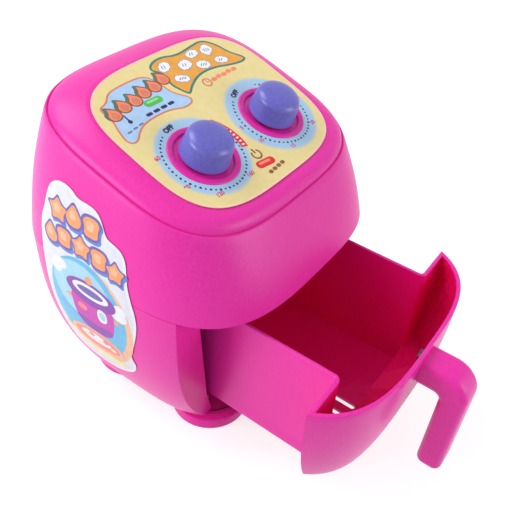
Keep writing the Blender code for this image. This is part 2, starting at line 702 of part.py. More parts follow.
def drawer_plan(z, inset):
    """Plan of the whole drawer: straight walls, flanges and curved front."""
    wall_x = drawer_half_width - (DRAWER_WALL if inset else 0.0)
    rear_y = DRAWER_REAR_Y - (DRAWER_WALL if inset else 0.0)
    flange_y = PANEL_FLANGE_Y - (PANEL_WALL if inset else 0.0)
    rear_round = DRAWER_REAR_ROUND - (DRAWER_WALL if inset else 0.0)
    front_round = PANEL_INNER_ROUND - (0.0 if inset else PANEL_WALL)
    panel_inset = PANEL_WALL if inset else 0.0
    right = []
    for i in range(CORNER_POINTS):
        turn = math.pi / 2.0 * (1.0 - i / (CORNER_POINTS - 1))
        x = wall_x - rear_round + rear_round * math.cos(turn)
        y = rear_y - rear_round + rear_round * math.sin(turn)
        right.append((x, y))
    for i in range(STEP_POINTS):
        turn = math.pi + math.pi / 2.0 * i / (STEP_POINTS - 1)
        x = wall_x + front_round + front_round * math.cos(turn)
        y = flange_y + front_round + front_round * math.sin(turn)
        right.append((x, y))
    front = front_arc(z, flange_y, panel_inset, PANEL_SCALE_SHARE)
    left = [(-x, y) for x, y in reversed(right)]
    return right + list(reversed(front)) + left


def basket_plan(inset):
    """Plan of the straight part alone, shut off at the front by the step."""
    wall_x = drawer_half_width - inset
    rear_y = DRAWER_REAR_Y - inset
    rear_round = DRAWER_REAR_ROUND - inset
    step_y = DRAWER_STEP_Y + inset
    right = []
    for i in range(CORNER_POINTS):
        turn = math.pi / 2.0 * (1.0 - i / (CORNER_POINTS - 1))
        x = wall_x - rear_round + rear_round * math.cos(turn)
        y = rear_y - rear_round + rear_round * math.sin(turn)
        right.append((x, y))
    right.append((wall_x, step_y))
    left = [(-x, y) for x, y in reversed(right)]
    return right + left


def pulled(points, z):
    """Drawer points moved out to the photographed place."""
    return [(x, y - DRAWER_PULL, z) for x, y in points]


# Drawer: basket with straight walls and the wider curved front
outer_levels = spread(PANEL_BOTTOM_Z, DRAWER_TOP_Z, PANEL_LEVEL_SHARES)
drawer = piece("drawer", skin([pulled(drawer_plan(z, False), z) for z in outer_levels]))
inner_levels = spread(PANEL_BOTTOM_Z + PANEL_WALL, DRAWER_TOP_Z + CUT_OVERRUN, PANEL_LEVEL_SHARES)
lower_part_levels = (DRAWER_BOTTOM_Z, PANEL_BOTTOM_Z + PANEL_WALL)
lower_part = piece("drawer_lower_part", skin([pulled(basket_plan(0.0), z) for z in lower_part_levels]))
shape(drawer, lower_part, "UNION")
hollow = piece("drawer_hollow", skin([pulled(drawer_plan(z, True), z) for z in inner_levels]))
shape(drawer, hollow, "DIFFERENCE")
floor_top_z = DRAWER_BOTTOM_Z + DRAWER_WALL
lower_hollow_levels = (floor_top_z, PANEL_BOTTOM_Z + PANEL_WALL + CUT_OVERRUN)
lower_hollow_loops = [pulled(basket_plan(DRAWER_WALL), z) for z in lower_hollow_levels]
lower_hollow = piece("drawer_lower_hollow", skin(lower_hollow_loops))
shape(drawer, lower_hollow, "DIFFERENCE")

slot_round = SLOT_WIDTH / 2.0
slot_levels = (DRAWER_BOTTOM_Z - CUT_OVERRUN, floor_top_z + CUT_OVERRUN)
for i in range(SLOT_COUNT):
    x = -(SLOT_INNER_X + i * SLOT_PITCH)
    plan = []
    for end_y, start in ((SLOT_REAR_Y, 0.0), (SLOT_FRONT_Y, math.pi)):
        for k in range(SLOT_END_POINTS):
            turn = start + math.pi * k / (SLOT_END_POINTS - 1)
            plan.append((x + slot_round * math.cos(turn), end_y + slot_round * math.sin(turn)))
    slot = piece("floor_slot", skin([pulled(plan, z) for z in slot_levels]))
    shape(drawer, slot, "DIFFERENCE")

# Handle: an arm out of the panel and a grip down from it
panel_face_y = -lower_sizes(ARM_TOP_Z, 0.0, PANEL_SCALE_SHARE)[1]
arm_root_y = panel_face_y - GAP
outer_line = [(arm_root_y, ARM_TOP_Z)]
inner_line = [(arm_root_y, ARM_UNDER_Z)]
for share in BEND_SHARES:
    turn = math.pi / 2.0 * share
    outer_y = GRIP_OUTER_Y + BEND_OUTER_ROUND - BEND_OUTER_ROUND * math.sin(turn)
    outer_z = ARM_TOP_Z - BEND_OUTER_ROUND + BEND_OUTER_ROUND * math.cos(turn)
    outer_line.append((outer_y, outer_z))
    inner_y = GRIP_INNER_Y + BEND_INNER_ROUND - BEND_INNER_ROUND * math.sin(turn)
    inner_z = ARM_UNDER_Z - BEND_INNER_ROUND + BEND_INNER_ROUND * math.cos(turn)
    inner_line.append((inner_y, inner_z))
grip_middle_y = (GRIP_OUTER_Y + GRIP_INNER_Y) / 2.0
grip_half = (GRIP_INNER_Y - GRIP_OUTER_Y) / 2.0


def handle_section(outer, inner, draw_in):
    """A rounded rectangle across the handle between its two edge lines."""
    middle_y = (outer[0] + inner[0]) / 2.0
    middle_z = (outer[1] + inner[1]) / 2.0
    half = math.hypot(outer[0] - inner[0], outer[1] - inner[1]) / 2.0
    toward_y = (outer[0] - middle_y) / half
    toward_z = (outer[1] - middle_z) / half
    width = HANDLE_WIDTH / 2.0 - draw_in
    rounding = max(HANDLE_ROUND - draw_in / 2.0, GAP)
    points = []
    corners = ((1.0, 1.0, 0.0), (-1.0, 1.0, 0.5), (-1.0, -1.0, 1.0), (1.0, -1.0, 1.5))
    for corner_x, corner_t, start in corners:
        for i in range(HANDLE_CORNER_POINTS):
            turn = math.pi * (start + i / (HANDLE_CORNER_POINTS - 1) / 2.0)
            across = corner_x * (width - rounding) + rounding * math.cos(turn)
            along = corner_t * (half - rounding) + rounding * math.sin(turn)
            y = middle_y + along * toward_y
            z = middle_z + along * toward_z
            points.append((across, y - DRAWER_PULL, z))
    return points


handle_loops = [handle_section(o, i, 0.0) for o, i in zip(outer_line, inner_line)]
for share in GRIP_END_SHARES:
    turn = share * math.pi / 2.0
    draw_in = GRIP_END_ROUND * (1.0 - math.cos(turn))
    z = GRIP_BOTTOM_Z + GRIP_END_ROUND * (1.0 - math.sin(turn))
    outer = (grip_middle_y - grip_half + draw_in, z)
    inner = (grip_middle_y + grip_half - draw_in, z)
    handle_loops.append(handle_section(outer, inner, draw_in))
handle = piece("handle", skin(handle_loops))

HANDLE_SCREW_PLACES = (("upper", HANDLE_SCREW_UPPER_Z), ("lower", HANDLE_SCREW_LOWER_Z))
AIM_FORWARD = Matrix.Rotation(math.pi / 2.0, 4, "X")
for label, z in HANDLE_SCREW_PLACES:
    seat_y = -lower_sizes(z, PANEL_WALL, PANEL_SCALE_SHARE)[1] + GAP
    spot = Matrix.Translation((0.0, seat_y - DRAWER_PULL, z)) @ AIM_FORWARD
    length = PANEL_WALL + GAP + GAP + SCREW_BITE
    screw("handle_screw_" + label, spot, length)
    bore = rod(SCREW_RADIUS + SCREW_FIT, -CUT_OVERRUN, length + SCREW_FIT)
    bore_helper = piece("handle_bore_" + label, bore, place=spot)
    shape(handle, bore_helper, "DIFFERENCE")
    shape(drawer, bore_helper, "DIFFERENCE")


def wall_x(y, z):
    """Outer surface of the left wall at a depth and height."""
    if z < SPLIT_Z:
        return -edge_x(z, y)
    share = (z - SPLIT_Z) / (crease_z(y) - SPLIT_Z)
    bulge = UPPER_BULGE * math.sin(math.pi * share)
    half_width = BODY_HALF_WIDTH + (CREASE_HALF_WIDTH - BODY_HALF_WIDTH) * share + bulge
    half_depth = BODY_HALF_DEPTH + (CREASE_HALF_DEPTH - BODY_HALF_DEPTH) * share + bulge
    exponent = BODY_EXPONENT + (CREASE_EXPONENT - BODY_EXPONENT) * share
    centre_y = CREASE_CENTRE_Y * share
    inside = 1.0 - (abs(y - centre_y) / half_depth) ** exponent
    return -half_width * inside ** (1.0 / exponent)


# Printed label stuck to the left wall
side_loops_out = []
side_loops_in = []
for share in SIDE_LABEL_RING_SHARES:
    plan = []
    for along, up in SIDE_LABEL_OUTLINE_SHARES:
        y = SIDE_LABEL_Y + SIDE_LABEL_HALF_WIDTH * along * share
        plan.append((y, SIDE_LABEL_Z + SIDE_LABEL_HALF_HEIGHT * up * share))
    side_loops_in.append([(wall_x(y, z) - GAP, y, z) for y, z in plan])
    side_loops_out.append([(wall_x(y, z) - GAP - SIDE_LABEL_THICKNESS, y, z) for y, z in plan])
piece("side_label", skin(list(reversed(side_loops_in)) + side_loops_out), SKY)
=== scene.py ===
# Looks of the toy air fryer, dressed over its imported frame.
# Lengths are in metres, in the frame of the model. Prints are laid out in mm.
import math

import bmesh
import bpy
from mathutils import Matrix, Vector


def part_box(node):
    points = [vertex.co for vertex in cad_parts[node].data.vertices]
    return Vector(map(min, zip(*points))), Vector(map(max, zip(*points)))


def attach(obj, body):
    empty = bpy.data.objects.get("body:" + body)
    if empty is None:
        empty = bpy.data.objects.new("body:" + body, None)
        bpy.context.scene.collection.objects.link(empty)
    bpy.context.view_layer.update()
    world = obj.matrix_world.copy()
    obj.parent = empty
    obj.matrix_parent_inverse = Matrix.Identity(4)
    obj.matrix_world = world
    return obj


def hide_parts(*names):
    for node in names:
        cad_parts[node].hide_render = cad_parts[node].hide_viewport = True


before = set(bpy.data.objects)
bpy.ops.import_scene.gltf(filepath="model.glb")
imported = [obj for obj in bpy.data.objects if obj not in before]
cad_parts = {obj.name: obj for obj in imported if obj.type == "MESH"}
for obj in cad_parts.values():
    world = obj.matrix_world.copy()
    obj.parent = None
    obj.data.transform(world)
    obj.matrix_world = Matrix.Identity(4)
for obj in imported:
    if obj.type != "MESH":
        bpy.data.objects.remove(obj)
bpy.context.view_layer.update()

# The camera looks down on the left front corner, as a product photographer
# holds it for a toy on a table. Its place was worked out from the photograph.
VIEW_AZIMUTH = math.radians(-57.123)
VIEW_ELEVATION = math.radians(40.712)
VIEW_ROLL = math.radians(4.815)
VIEW_DISTANCE = 0.354422
VIEW_LENS = 46.638
VIEW_SENSOR = 36.0
VIEW_NEAR = 0.01
VIEW_TARGET = Vector((-0.013196, -0.047871, 0.110377))

housing_low, housing_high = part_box("upper_housing")
STAND_Y = (housing_low.y + housing_high.y) / 2.0
IN_PLACE = Matrix.Translation((0.0, STAND_Y, 0.0))

level = math.cos(VIEW_ELEVATION)
away = Vector((
    math.sin(VIEW_AZIMUTH) * level,
    -math.cos(VIEW_AZIMUTH) * level,
    math.sin(VIEW_ELEVATION),
))
right = Vector((math.cos(VIEW_AZIMUTH), math.sin(VIEW_AZIMUTH), 0.0))
up = away.cross(right)
camera_right = right * math.cos(VIEW_ROLL) + up * math.sin(VIEW_ROLL)
camera_up = up * math.cos(VIEW_ROLL) - right * math.sin(VIEW_ROLL)
turn = Matrix((camera_right, camera_up, away)).transposed().to_4x4()
camera_data = bpy.data.cameras.new("photo_camera")
camera_data.lens = VIEW_LENS
camera_data.sensor_width = VIEW_SENSOR
camera_data.clip_start = VIEW_NEAR
camera = bpy.data.objects.new("photo_camera", camera_data)
bpy.context.scene.collection.objects.link(camera)
camera.matrix_world = IN_PLACE @ Matrix.Translation(VIEW_TARGET + away * VIEW_DISTANCE) @ turn
bpy.context.scene.camera = camera
bpy.context.scene.view_settings.view_transform = "Standard"


# Lower housing: a pink moulded shell, widest at the split and drawn in to a
# smaller base. Its front is cut away for the drawer, down to a low strip, and
# a bulkhead a little way in carries the hole that the drawer runs through.
class Wire:
    """One output socket, which adds Math nodes when it is used in a sum."""

    def __init__(self, owner, socket):
        self.owner = owner
        self.socket = socket

    def maths(self, operation, first, second):
        return self.owner.node("Math", {"operation": operation}, {0: first, 1: second})

    def __add__(self, other):
        return self.maths("ADD", self, other)

    def __sub__(self, other):
        return self.maths("SUBTRACT", self, other)

    def __rsub__(self, other):
        return self.maths("SUBTRACT", other, self)

    def __mul__(self, other):
        return self.maths("MULTIPLY", self, other)

    __radd__ = __add__
    __rmul__ = __mul__


class Nodes:
    """The nodes of one material, or of the world."""

    def __init__(self, tree):
        self.tree = tree

    def link(self, wire, socket):
        self.tree.links.new(wire.socket, socket)

    def node(self, kind, settings, sockets, out=0):
        """Add one node: its settings first, then its sockets by name or place."""
        made = self.tree.nodes.new("ShaderNode" + kind)
        for key, value in settings.items():
            setattr(made, key, value)
        for key, value in sockets.items():
            if isinstance(value, Wire):
                self.link(value, made.inputs[key])
            else:
                made.inputs[key].default_value = value
        return Wire(self, made.outputs[out])

    def seen(self):
        """1 for what the camera sees, also in a gloss or through glass."""
        rays = ("Is Camera Ray", "Is Glossy Ray", "Is Transmission Ray")
        return sum(self.node("LightPath", {}, {}, ray) for ray in rays)


class Finish(Nodes):
    """One named material, built from nodes round a Principled shader."""

    def __init__(self, name, **constants):
        self.material = bpy.data.materials.new(name)
        self.material.use_nodes = True
        super().__init__(self.material.node_tree)
        self.shader = self.tree.nodes["Principled BSDF"]
        for socket, value in constants.items():
            self.shader.inputs[socket.replace("_", " ")].default_value = value

    def feed(self, socket, wire):
        self.link(wire, self.shader.inputs[socket])

    def place(self):
        """Where a point is on its piece."""
        return self.node("TexCoord", {}, {}, "Object")

    def noise(self, where, scale, detail=2.0):
        sockets = {"Vector": where, "Scale": scale, "Detail": detail}
        return self.node("TexNoise", {}, sockets)

    def eased(self, value, low, high):
        """0 below low, 1 above high and a smooth step between."""
        settings = {"interpolation_type": "SMOOTHSTEP"}
        return self.node("MapRange", settings, {0: value, 1: low, 2: high})

    def blend(self, share, first, second):
        """A colour between two colours, on the Mix node's colour sockets."""
        return self.node("Mix", {"data_type": "RGBA"}, {0: share, 6: first, 7: second}, 2)

    def relief(self, height, strength, depth):
        sockets = {"Strength": strength, "Distance": depth, "Height": height}
        self.feed("Normal", self.node("Bump", {}, sockets))


FLOW_SCALE = 11.0
RIPPLE_SCALE = 60.0
SPECK_SCALE = 700.0
GRAIN_SCALE = 1500.0
HAIR_TURN = (0.5, 0.3, 0.9)
HAIR_STRETCH = (40.0, 900.0, 900.0)
HAIR_LIMITS = (0.68, 0.74)
EDGE_LIMITS = (0.53, 0.62)
CLOUD_LIMITS = (0.36, 0.64)
RUBBED_SHARE = 0.5
RUBBED_GAIN = 1.12
RUBBED_LIFT = 0.02
POLISH = 0.05
FLOW_ROUGHNESS = 0.06
GRAIN_ROUGHNESS = 0.04
HAIR_ROUGHNESS = 0.08
GRAIN_HEIGHT = 0.35
SPECK_HEIGHT = 0.3
RIPPLE_HEIGHT = 0.45
HAIR_DEPTH = 0.2
RELIEF_STRENGTH = 0.22
PLASTIC_RELIEF = 0.0001


def lighter(colour, gain, lift):
    """A paler twin of a colour, as where it is rubbed or thinly printed."""
    return [min(value * gain + lift, 1.0) for value in colour[:3]] + [1.0]


def moulded(name, deep, pale, rough, gloss=0.28):
    """Injection-moulded plastic: slow drift of colour from the melt's flow,
    a fine even grain off the mould, hair scratches and rubbed edges."""
    plastic = Finish(name, Specular_IOR_Level=gloss, Coat_Weight=gloss * 0.3, Coat_Roughness=0.32)
    where = plastic.place()
    flow = plastic.noise(where, FLOW_SCALE, detail=3.0)
    grain = plastic.noise(where, GRAIN_SCALE)
    speck = plastic.noise(where, SPECK_SCALE)
    ripple = plastic.noise(where, RIPPLE_SCALE, detail=1.0)
    stretch = {"Vector": where, "Rotation": HAIR_TURN, "Scale": HAIR_STRETCH}
    stretched = plastic.node("Mapping", {}, stretch)
    hairs = plastic.eased(plastic.noise(stretched, 1.0, detail=1.0), *HAIR_LIMITS)
    edge = plastic.eased(plastic.node("NewGeometry", {}, {}, "Pointiness"), *EDGE_LIMITS)
    clouds = plastic.eased(flow * 0.5 + speck * 0.5, *CLOUD_LIMITS)
    tint = plastic.blend(clouds, deep, pale)
    rubbed = lighter(pale, RUBBED_GAIN, RUBBED_LIFT)
    plastic.feed("Base Color", plastic.blend(edge * RUBBED_SHARE, tint, rubbed))
    dulled = flow * FLOW_ROUGHNESS + grain * GRAIN_ROUGHNESS + hairs * HAIR_ROUGHNESS
    plastic.feed("Roughness", rough - POLISH + dulled)
    height = grain * GRAIN_HEIGHT + speck * SPECK_HEIGHT + ripple * RIPPLE_HEIGHT
    plastic.relief(height - hairs * HAIR_DEPTH, RELIEF_STRENGTH, PLASTIC_RELIEF)
    return plastic.material


def squared_oval(half_width, half_depth, exponent, centre_y=0.0, start=0.0, end=math.tau, count=200):
    """Plan points of a squared oval, whole or from one angle to another."""
    steps = count if end - start >= math.tau else count - 1
    points = []
    for i in range(count):
        angle = start + (end - start) * i / steps
        cosine = math.cos(angle)
        sine = math.sin(angle)
        x = half_width * math.copysign(abs(cosine) ** (2.0 / exponent), cosine)
        y = half_depth * math.copysign(abs(sine) ** (2.0 / exponent), sine)
        points.append((x, centre_y + y))
    return points


def bridge(bm, low, high, index=0):
    """Join two closed rows of points with a strip of faces."""
    for i, vert in enumerate(low):
        after = (i + 1) % len(low)
        bm.faces.new((vert, low[after], high[after], high[i])).material_index = index


def skin(bm, loops, capped=True):
    """Bridge loops of points, with a face over each end if capped."""
    rows = [[bm.verts.new(point) for point in loop] for loop in loops]
    if capped:
        bm.faces.new(rows[0])
        bm.faces.new(rows[-1])
    for low, high in zip(rows, rows[1:]):
        bridge(bm, low, high)
    return rows


SHARP_ANGLE = math.radians(35.0)
ROUNDING_STEPS = 3


def dressed(name, bm, finishes, body, nodes=(), place=IN_PLACE, round_off=0.0):
    """Turn a bmesh into a smooth piece, rounded at its edges, on its body."""
    bmesh.ops.recalc_face_normals(bm, faces=bm.faces)
    mesh = bpy.data.meshes.new(name)
    bm.to_mesh(mesh)
    bm.free()
    mesh.shade_smooth()
    mesh.set_sharp_from_angle(angle=SHARP_ANGLE)
    for finish in finishes:
        mesh.materials.append(finish)
    made = bpy.data.objects.new(name, mesh)
    bpy.context.scene.collection.objects.link(made)
    made.matrix_world = place
    if round_off:
        rounding = made.modifiers.new("rounded_edges", "BEVEL")
        rounding.width = round_off
        rounding.segments = ROUNDING_STEPS
        rounding.limit_method = "ANGLE"
        rounding.angle_limit = SHARP_ANGLE
        rounding.harden_normals = True
        rounding.use_clamp_overlap = True
    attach(made, body)
    if nodes:
        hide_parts(*nodes)


BODY_HALF_WIDTH = 0.0825
BODY_HALF_DEPTH = 0.0810
BODY_EXPONENT = 3.4
SPLIT_Z = 0.1100
BASE_Z = 0.0081
LOWER_TOP_Z = 0.1097
LOWER_WIDTH_SHARE = 0.27
LOWER_DEPTH_SHARE = 0.24
LOWER_CURVE_POWER = 3.1
LOWER_WALL = 0.0024
SHELL_ROWS = 40
SHELL_ROW_POWER = 1.3
SHELL_EDGE_ROUND = 0.0005
BULKHEAD_Y = -0.0485
BULKHEAD_WALL = 0.0022
STRIP_LEVELS = (BASE_Z, 0.0096, 0.0111, 0.0125)
HOLE_HALF_WIDTHS = ((0.0, 0.0440), (0.0125, 0.0475), (0.0300, 0.0525), (0.1140, 0.0622))
PINK = (0.81, 0.020, 0.37, 1.0)
PINK_PALE = (0.86, 0.030, 0.41, 1.0)


def lower_sizes(z, inset=0.0, share=1.0):
    """Half width and half depth of the lower housing at a height."""
    drop = max((SPLIT_Z - z) / (SPLIT_Z - BASE_Z), 0.0) ** LOWER_CURVE_POWER
    half_width = BODY_HALF_WIDTH * (1.0 - LOWER_WIDTH_SHARE * drop) * share - inset
    half_depth = BODY_HALF_DEPTH * (1.0 - LOWER_DEPTH_SHARE * drop) * share - inset
    return half_width, half_depth


def plane_angle(plane_y, half_depth):
    """Where a plane across the housing cuts the outline, as an angle."""
    return math.asin((abs(plane_y) / half_depth) ** (BODY_EXPONENT / 2.0))


def rear_arc(z, plane_y, inset=0.0):
    """The outline behind a plane, from its right end round to its left."""
    half_width, half_depth = lower_sizes(z, inset)
    angle = plane_angle(plane_y, half_depth)
    return squared_oval(half_width, half_depth, BODY_EXPONENT, 0.0, -angle, math.pi + angle)


def front_arc(z, plane_y, inset=0.0, share=1.0, count=121):
    """The outline in front of a plane, from its left end round to its right."""
    half_width, half_depth = lower_sizes(z, inset, share)
    angle = plane_angle(plane_y, half_depth)
    start = math.pi + angle
    end = math.tau - angle
    return squared_oval(half_width, half_depth, BODY_EXPONENT, 0.0, start, end, count)


def between(table, value):
    """Read a table of (place, size) pairs at a place."""
    for (low, first), (high, second) in zip(table, table[1:]):
        if value <= high:
            return first + (second - first) * (value - low) / (high - low)
    return table[-1][1]


pink_shell = moulded("pink_shell_plastic", PINK, PINK_PALE, rough=0.36)
shell = bmesh.new()
shell_loops = []
bulkhead_back = BULKHEAD_Y + BULKHEAD_WALL
for i in range(SHELL_ROWS + 1):
    z = BASE_Z + (LOWER_TOP_Z - BASE_Z) * (i / SHELL_ROWS) ** SHELL_ROW_POWER
    hole = between(HOLE_HALF_WIDTHS, z)
    plan = rear_arc(z, BULKHEAD_Y)
    plan += [(-hole, BULKHEAD_Y), (-hole, bulkhead_back)]
    plan += reversed(rear_arc(z, bulkhead_back, LOWER_WALL))
    plan += [(hole, bulkhead_back), (hole, BULKHEAD_Y)]
    shell_loops.append([(x, y, z) for x, y in plan])
skin(shell, shell_loops)
strip_loops = []
for z in STRIP_LEVELS:
    plan = front_arc(z, BULKHEAD_Y) + list(reversed(front_arc(z, BULKHEAD_Y, LOWER_WALL)))
    strip_loops.append([(x, y, z) for x, y in plan])
skin(shell, strip_loops)
dressed(
    "lower_housing_shell", shell, [pink_shell], "housing", ["lower_housing"],
    round_off=SHELL_EDGE_ROUND,
)


# Upper housing: the hood, a second pink shell that closes on the lower one
# with a fine parting line. A crease runs round it below a broad round bevel,
# and its top is a flat plateau, tilted to the front, with two raised collars.
CREASE_HALF_WIDTH = 0.0734
CREASE_HALF_DEPTH = 0.0623
CREASE_CENTRE_Y = -0.0022
CREASE_EXPONENT = 3.45
CREASE_Z = 0.1695
CREASE_SLOPE = math.tan(math.radians(16.5))
UPPER_WALL = 0.0024
UPPER_BULGE = 0.0016
CREASE_PROFILE = (
    (0.0, -0.0007), (0.0002, -0.0003), (0.0006, 0.0), (0.0010, 0.0),
    (0.0012, -0.0006), (0.0016, -0.0006), (0.0017, 0.0002),
)
PLATEAU_Z = 0.1780
PLATEAU_TILT = math.radians(20.0)
PLATEAU_CENTRE_Y = -0.0090
PLATEAU_EXPONENT = 3.6
PLATEAU_HALF_WIDTH = 0.0602
PLATEAU_HALF_DEPTH = 0.0469
PLATEAU_FRAME = Matrix.Translation((0.0, 0.0, PLATEAU_Z)) @ Matrix.Rotation(PLATEAU_TILT, 4, "X")
PLATEAU_PLACE = IN_PLACE @ PLATEAU_FRAME
DIAL_SPOTS = (("temperature", -0.0280, -0.0252), ("timer", 0.0280, -0.0252))
COLLAR_PROFILE = (
    (0.0, -0.0012), (0.0186, -0.0012), (0.0186, 0.0008), (0.0182, 0.0012), (0.0160, 0.0012),
    (0.0154, 0.0009), (0.0152, -0.0004), (0.0, -0.0004),
)
HOOD_EDGE_ROUND = 0.0004
INNER_ROWS = 8
OUTER_ROWS = 24
QUARTER_TURN = math.pi / 2.0


def crease_z(y):
    """Height of the crease at a depth, as it falls to the front."""
    return CREASE_Z + y * CREASE_SLOPE


def hood_sizes(share):
    """Half width, half depth and exponent of the wall, split to crease."""
    bulge = UPPER_BULGE * math.sin(math.pi * share)
    half_width = BODY_HALF_WIDTH + (CREASE_HALF_WIDTH - BODY_HALF_WIDTH) * share + bulge
    half_depth = BODY_HALF_DEPTH + (CREASE_HALF_DEPTH - BODY_HALF_DEPTH) * share + bulge
    exponent = BODY_EXPONENT + (CREASE_EXPONENT - BODY_EXPONENT) * share
    return half_width, half_depth, exponent


def wall_loop(share, inset):
    """A loop of the hood's side wall, from the split up to the crease."""
    half_width, half_depth, exponent = hood_sizes(share)
    centre_y = CREASE_CENTRE_Y * share
    plan = squared_oval(half_width - inset, half_depth - inset, exponent, centre_y)
    return [(x, y, SPLIT_Z + (crease_z(y) - SPLIT_Z - inset) * share) for x, y in plan]


def crease_loop(inset, rise):
    """A loop at the crease, moved in and up."""
    half_width = CREASE_HALF_WIDTH - inset
    half_depth = CREASE_HALF_DEPTH - inset
    plan = squared_oval(half_width, half_depth, CREASE_EXPONENT, CREASE_CENTRE_Y)
    return [(x, y, crease_z(y) + rise) for x, y in plan]


def bevel_loop(share, inset):
    """A loop of the round bevel, from the crease in to the plateau."""
    across = 1.0 - math.cos(share * QUARTER_TURN)
    climb = math.sin(share * QUARTER_TURN)
    low = crease_loop(CREASE_PROFILE[-1][0] + inset, 0.0)
    high = squared_oval(PLATEAU_HALF_WIDTH, PLATEAU_HALF_DEPTH, PLATEAU_EXPONENT, PLATEAU_CENTRE_Y)
    points = []
    for (low_x, low_y, low_z), (high_x, high_y) in zip(low, high):
        high_z = PLATEAU_Z + high_y * math.tan(PLATEAU_TILT)
        x = low_x + (high_x - low_x) * across
        y = low_y + (high_y - low_y) * across
        points.append((x, y, low_z + (high_z - low_z) * climb - inset))
    return points


def turned(bm, profile, place=Matrix(), count=96):
    """Turn (radius, height) points about Z; a zero radius makes a pole."""
    rows = []
    for radius, height in profile:
        if radius == 0.0:
            rows.append([bm.verts.new(place @ Vector((0.0, 0.0, height)))] * count)
            continue
        row = []
        for i in range(count):
            angle = math.tau * i / count
            point = Vector((radius * math.cos(angle), radius * math.sin(angle), height))
            row.append(bm.verts.new(place @ point))
        rows.append(row)
    for low, high in zip(rows, rows[1:]):
        for i in range(count):
            after = (i + 1) % count
            corners = list(dict.fromkeys((low[i], low[after], high[after], high[i])))
            bm.faces.new(corners)


hood = bmesh.new()
hood_loops = [bevel_loop(1.0 - i / INNER_ROWS, UPPER_WALL) for i in range(INNER_ROWS + 1)]
hood_loops += [wall_loop(1.0 - i / INNER_ROWS, UPPER_WALL) for i in range(1, INNER_ROWS + 1)]
hood_loops += [wall_loop(i / OUTER_ROWS, 0.0) for i in range(OUTER_ROWS)]
hood_loops += [crease_loop(inset, rise) for inset, rise in CREASE_PROFILE]
hood_loops += [bevel_loop(i / OUTER_ROWS, 0.0) for i in range(1, OUTER_ROWS + 1)]
skin(hood, hood_loops)
for label, x, y in DIAL_SPOTS:
    turned(hood, COLLAR_PROFILE, PLATEAU_FRAME @ Matrix.Translation((x, y, 0.0)))
dressed(
    "upper_housing_hood", hood, [pink_shell], "housing", ["upper_housing"],
    round_off=HOOD_EDGE_ROUND,
)


# Feet: four round pucks of the same pink plastic under the base, each with a
# stud up through the base plate. Their rims are softly rounded.
FOOT_RADIUS = 0.0240
FOOT_TOP_Z = 0.0078
FOOT_ROUND = 0.0012
FOOT_ROUND_STEPS = 6
STUD_RADIUS = 0.0035
STUD_TOP_Z = 0.0146
STUD_SIDES = 32
FOOT_SPOTS = (
    ("front_left", -0.034525, -0.03696, -0.043525, -0.03846),
    ("front_right", 0.034525, -0.03696, 0.043525, -0.03846),
    ("rear_left", -0.035025, 0.02696, -0.043525, 0.03846),
    ("rear_right", 0.035025, 0.02696, 0.043525, 0.03846),
)


def angles(start, sweep, steps):
    """Even steps of an angle, with both ends of the sweep."""
    return [start + sweep * i / steps for i in range(steps + 1)]


pink_feet = moulded("pink_foot_plastic", PINK, PINK_PALE, rough=0.42)
for label, x, y, stud_x, stud_y in FOOT_SPOTS:
    foot = bmesh.new()
    profile = [(0.0, 0.0)]
    for angle in angles(0.0, QUARTER_TURN, FOOT_ROUND_STEPS):
        inset = FOOT_ROUND * (1.0 - math.sin(angle))
        profile.append((FOOT_RADIUS - inset, FOOT_ROUND * (1.0 - math.cos(angle))))
    for angle in angles(0.0, QUARTER_TURN, FOOT_ROUND_STEPS):
        inset = FOOT_ROUND * (1.0 - math.cos(angle))
        profile.append((FOOT_RADIUS - inset, FOOT_TOP_Z - FOOT_ROUND * (1.0 - math.sin(angle))))
    profile.append((0.0, FOOT_TOP_Z))
    turned(foot, profile, Matrix.Translation((x, y, 0.0)))
    stud_profile = (
        (0.0, FOOT_ROUND), (STUD_RADIUS, FOOT_ROUND), (STUD_RADIUS, STUD_TOP_Z), (0.0, STUD_TOP_Z),
    )
    turned(foot, stud_profile, Matrix.Translation((stud_x, stud_y, 0.0)), STUD_SIDES)
    dressed("foot_puck_" + label, foot, [pink_feet], "housing", ["foot_" + label])


# Inside the housing: the base plate with its two rails, and the screws and
# washers that hold the halves, the handle and the knobs. They keep the shape
# of the frame and get the finish of moulded plastic and blackened steel.
STEEL = (0.11, 0.11, 0.12, 1.0)
STEEL_DULL = (0.06, 0.06, 0.065, 1.0)
OXIDE_SCALE = 500.0
OXIDE_LIMITS = (0.35, 0.65)
OXIDE_ROUGHNESS = 0.15
TURNING_STRETCH = (300.0, 300.0, 6000.0)
TURNING_ROUGHNESS = 0.1
STEEL_ROUGHNESS = 0.38
STEEL_RELIEF = 0.00005
pink_plate = moulded("pink_plate_plastic", PINK, PINK_PALE, rough=0.45)
steel = Finish("blackened_steel", Metallic=0.85, Specular_IOR_Level=0.2)
where = steel.place()
oxide = steel.noise(where, OXIDE_SCALE, detail=3.0)
lathed = steel.node("Mapping", {}, {"Vector": where, "Scale": TURNING_STRETCH})
turning = steel.noise(lathed, 1.0, detail=1.0)
steel.feed("Base Color", steel.blend(steel.eased(oxide, *OXIDE_LIMITS), STEEL_DULL, STEEL))
steel.feed("Roughness", STEEL_ROUGHNESS + oxide * OXIDE_ROUGHNESS + turning * TURNING_ROUGHNESS)
steel.relief(turning, strength=0.1, depth=STEEL_RELIEF)
for name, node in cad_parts.items():
    if name == "base_plate":
        node.material_slots[0].material = pink_plate
    elif "screw" in name or "washer" in name:
        node.material_slots[0].material = steel.material


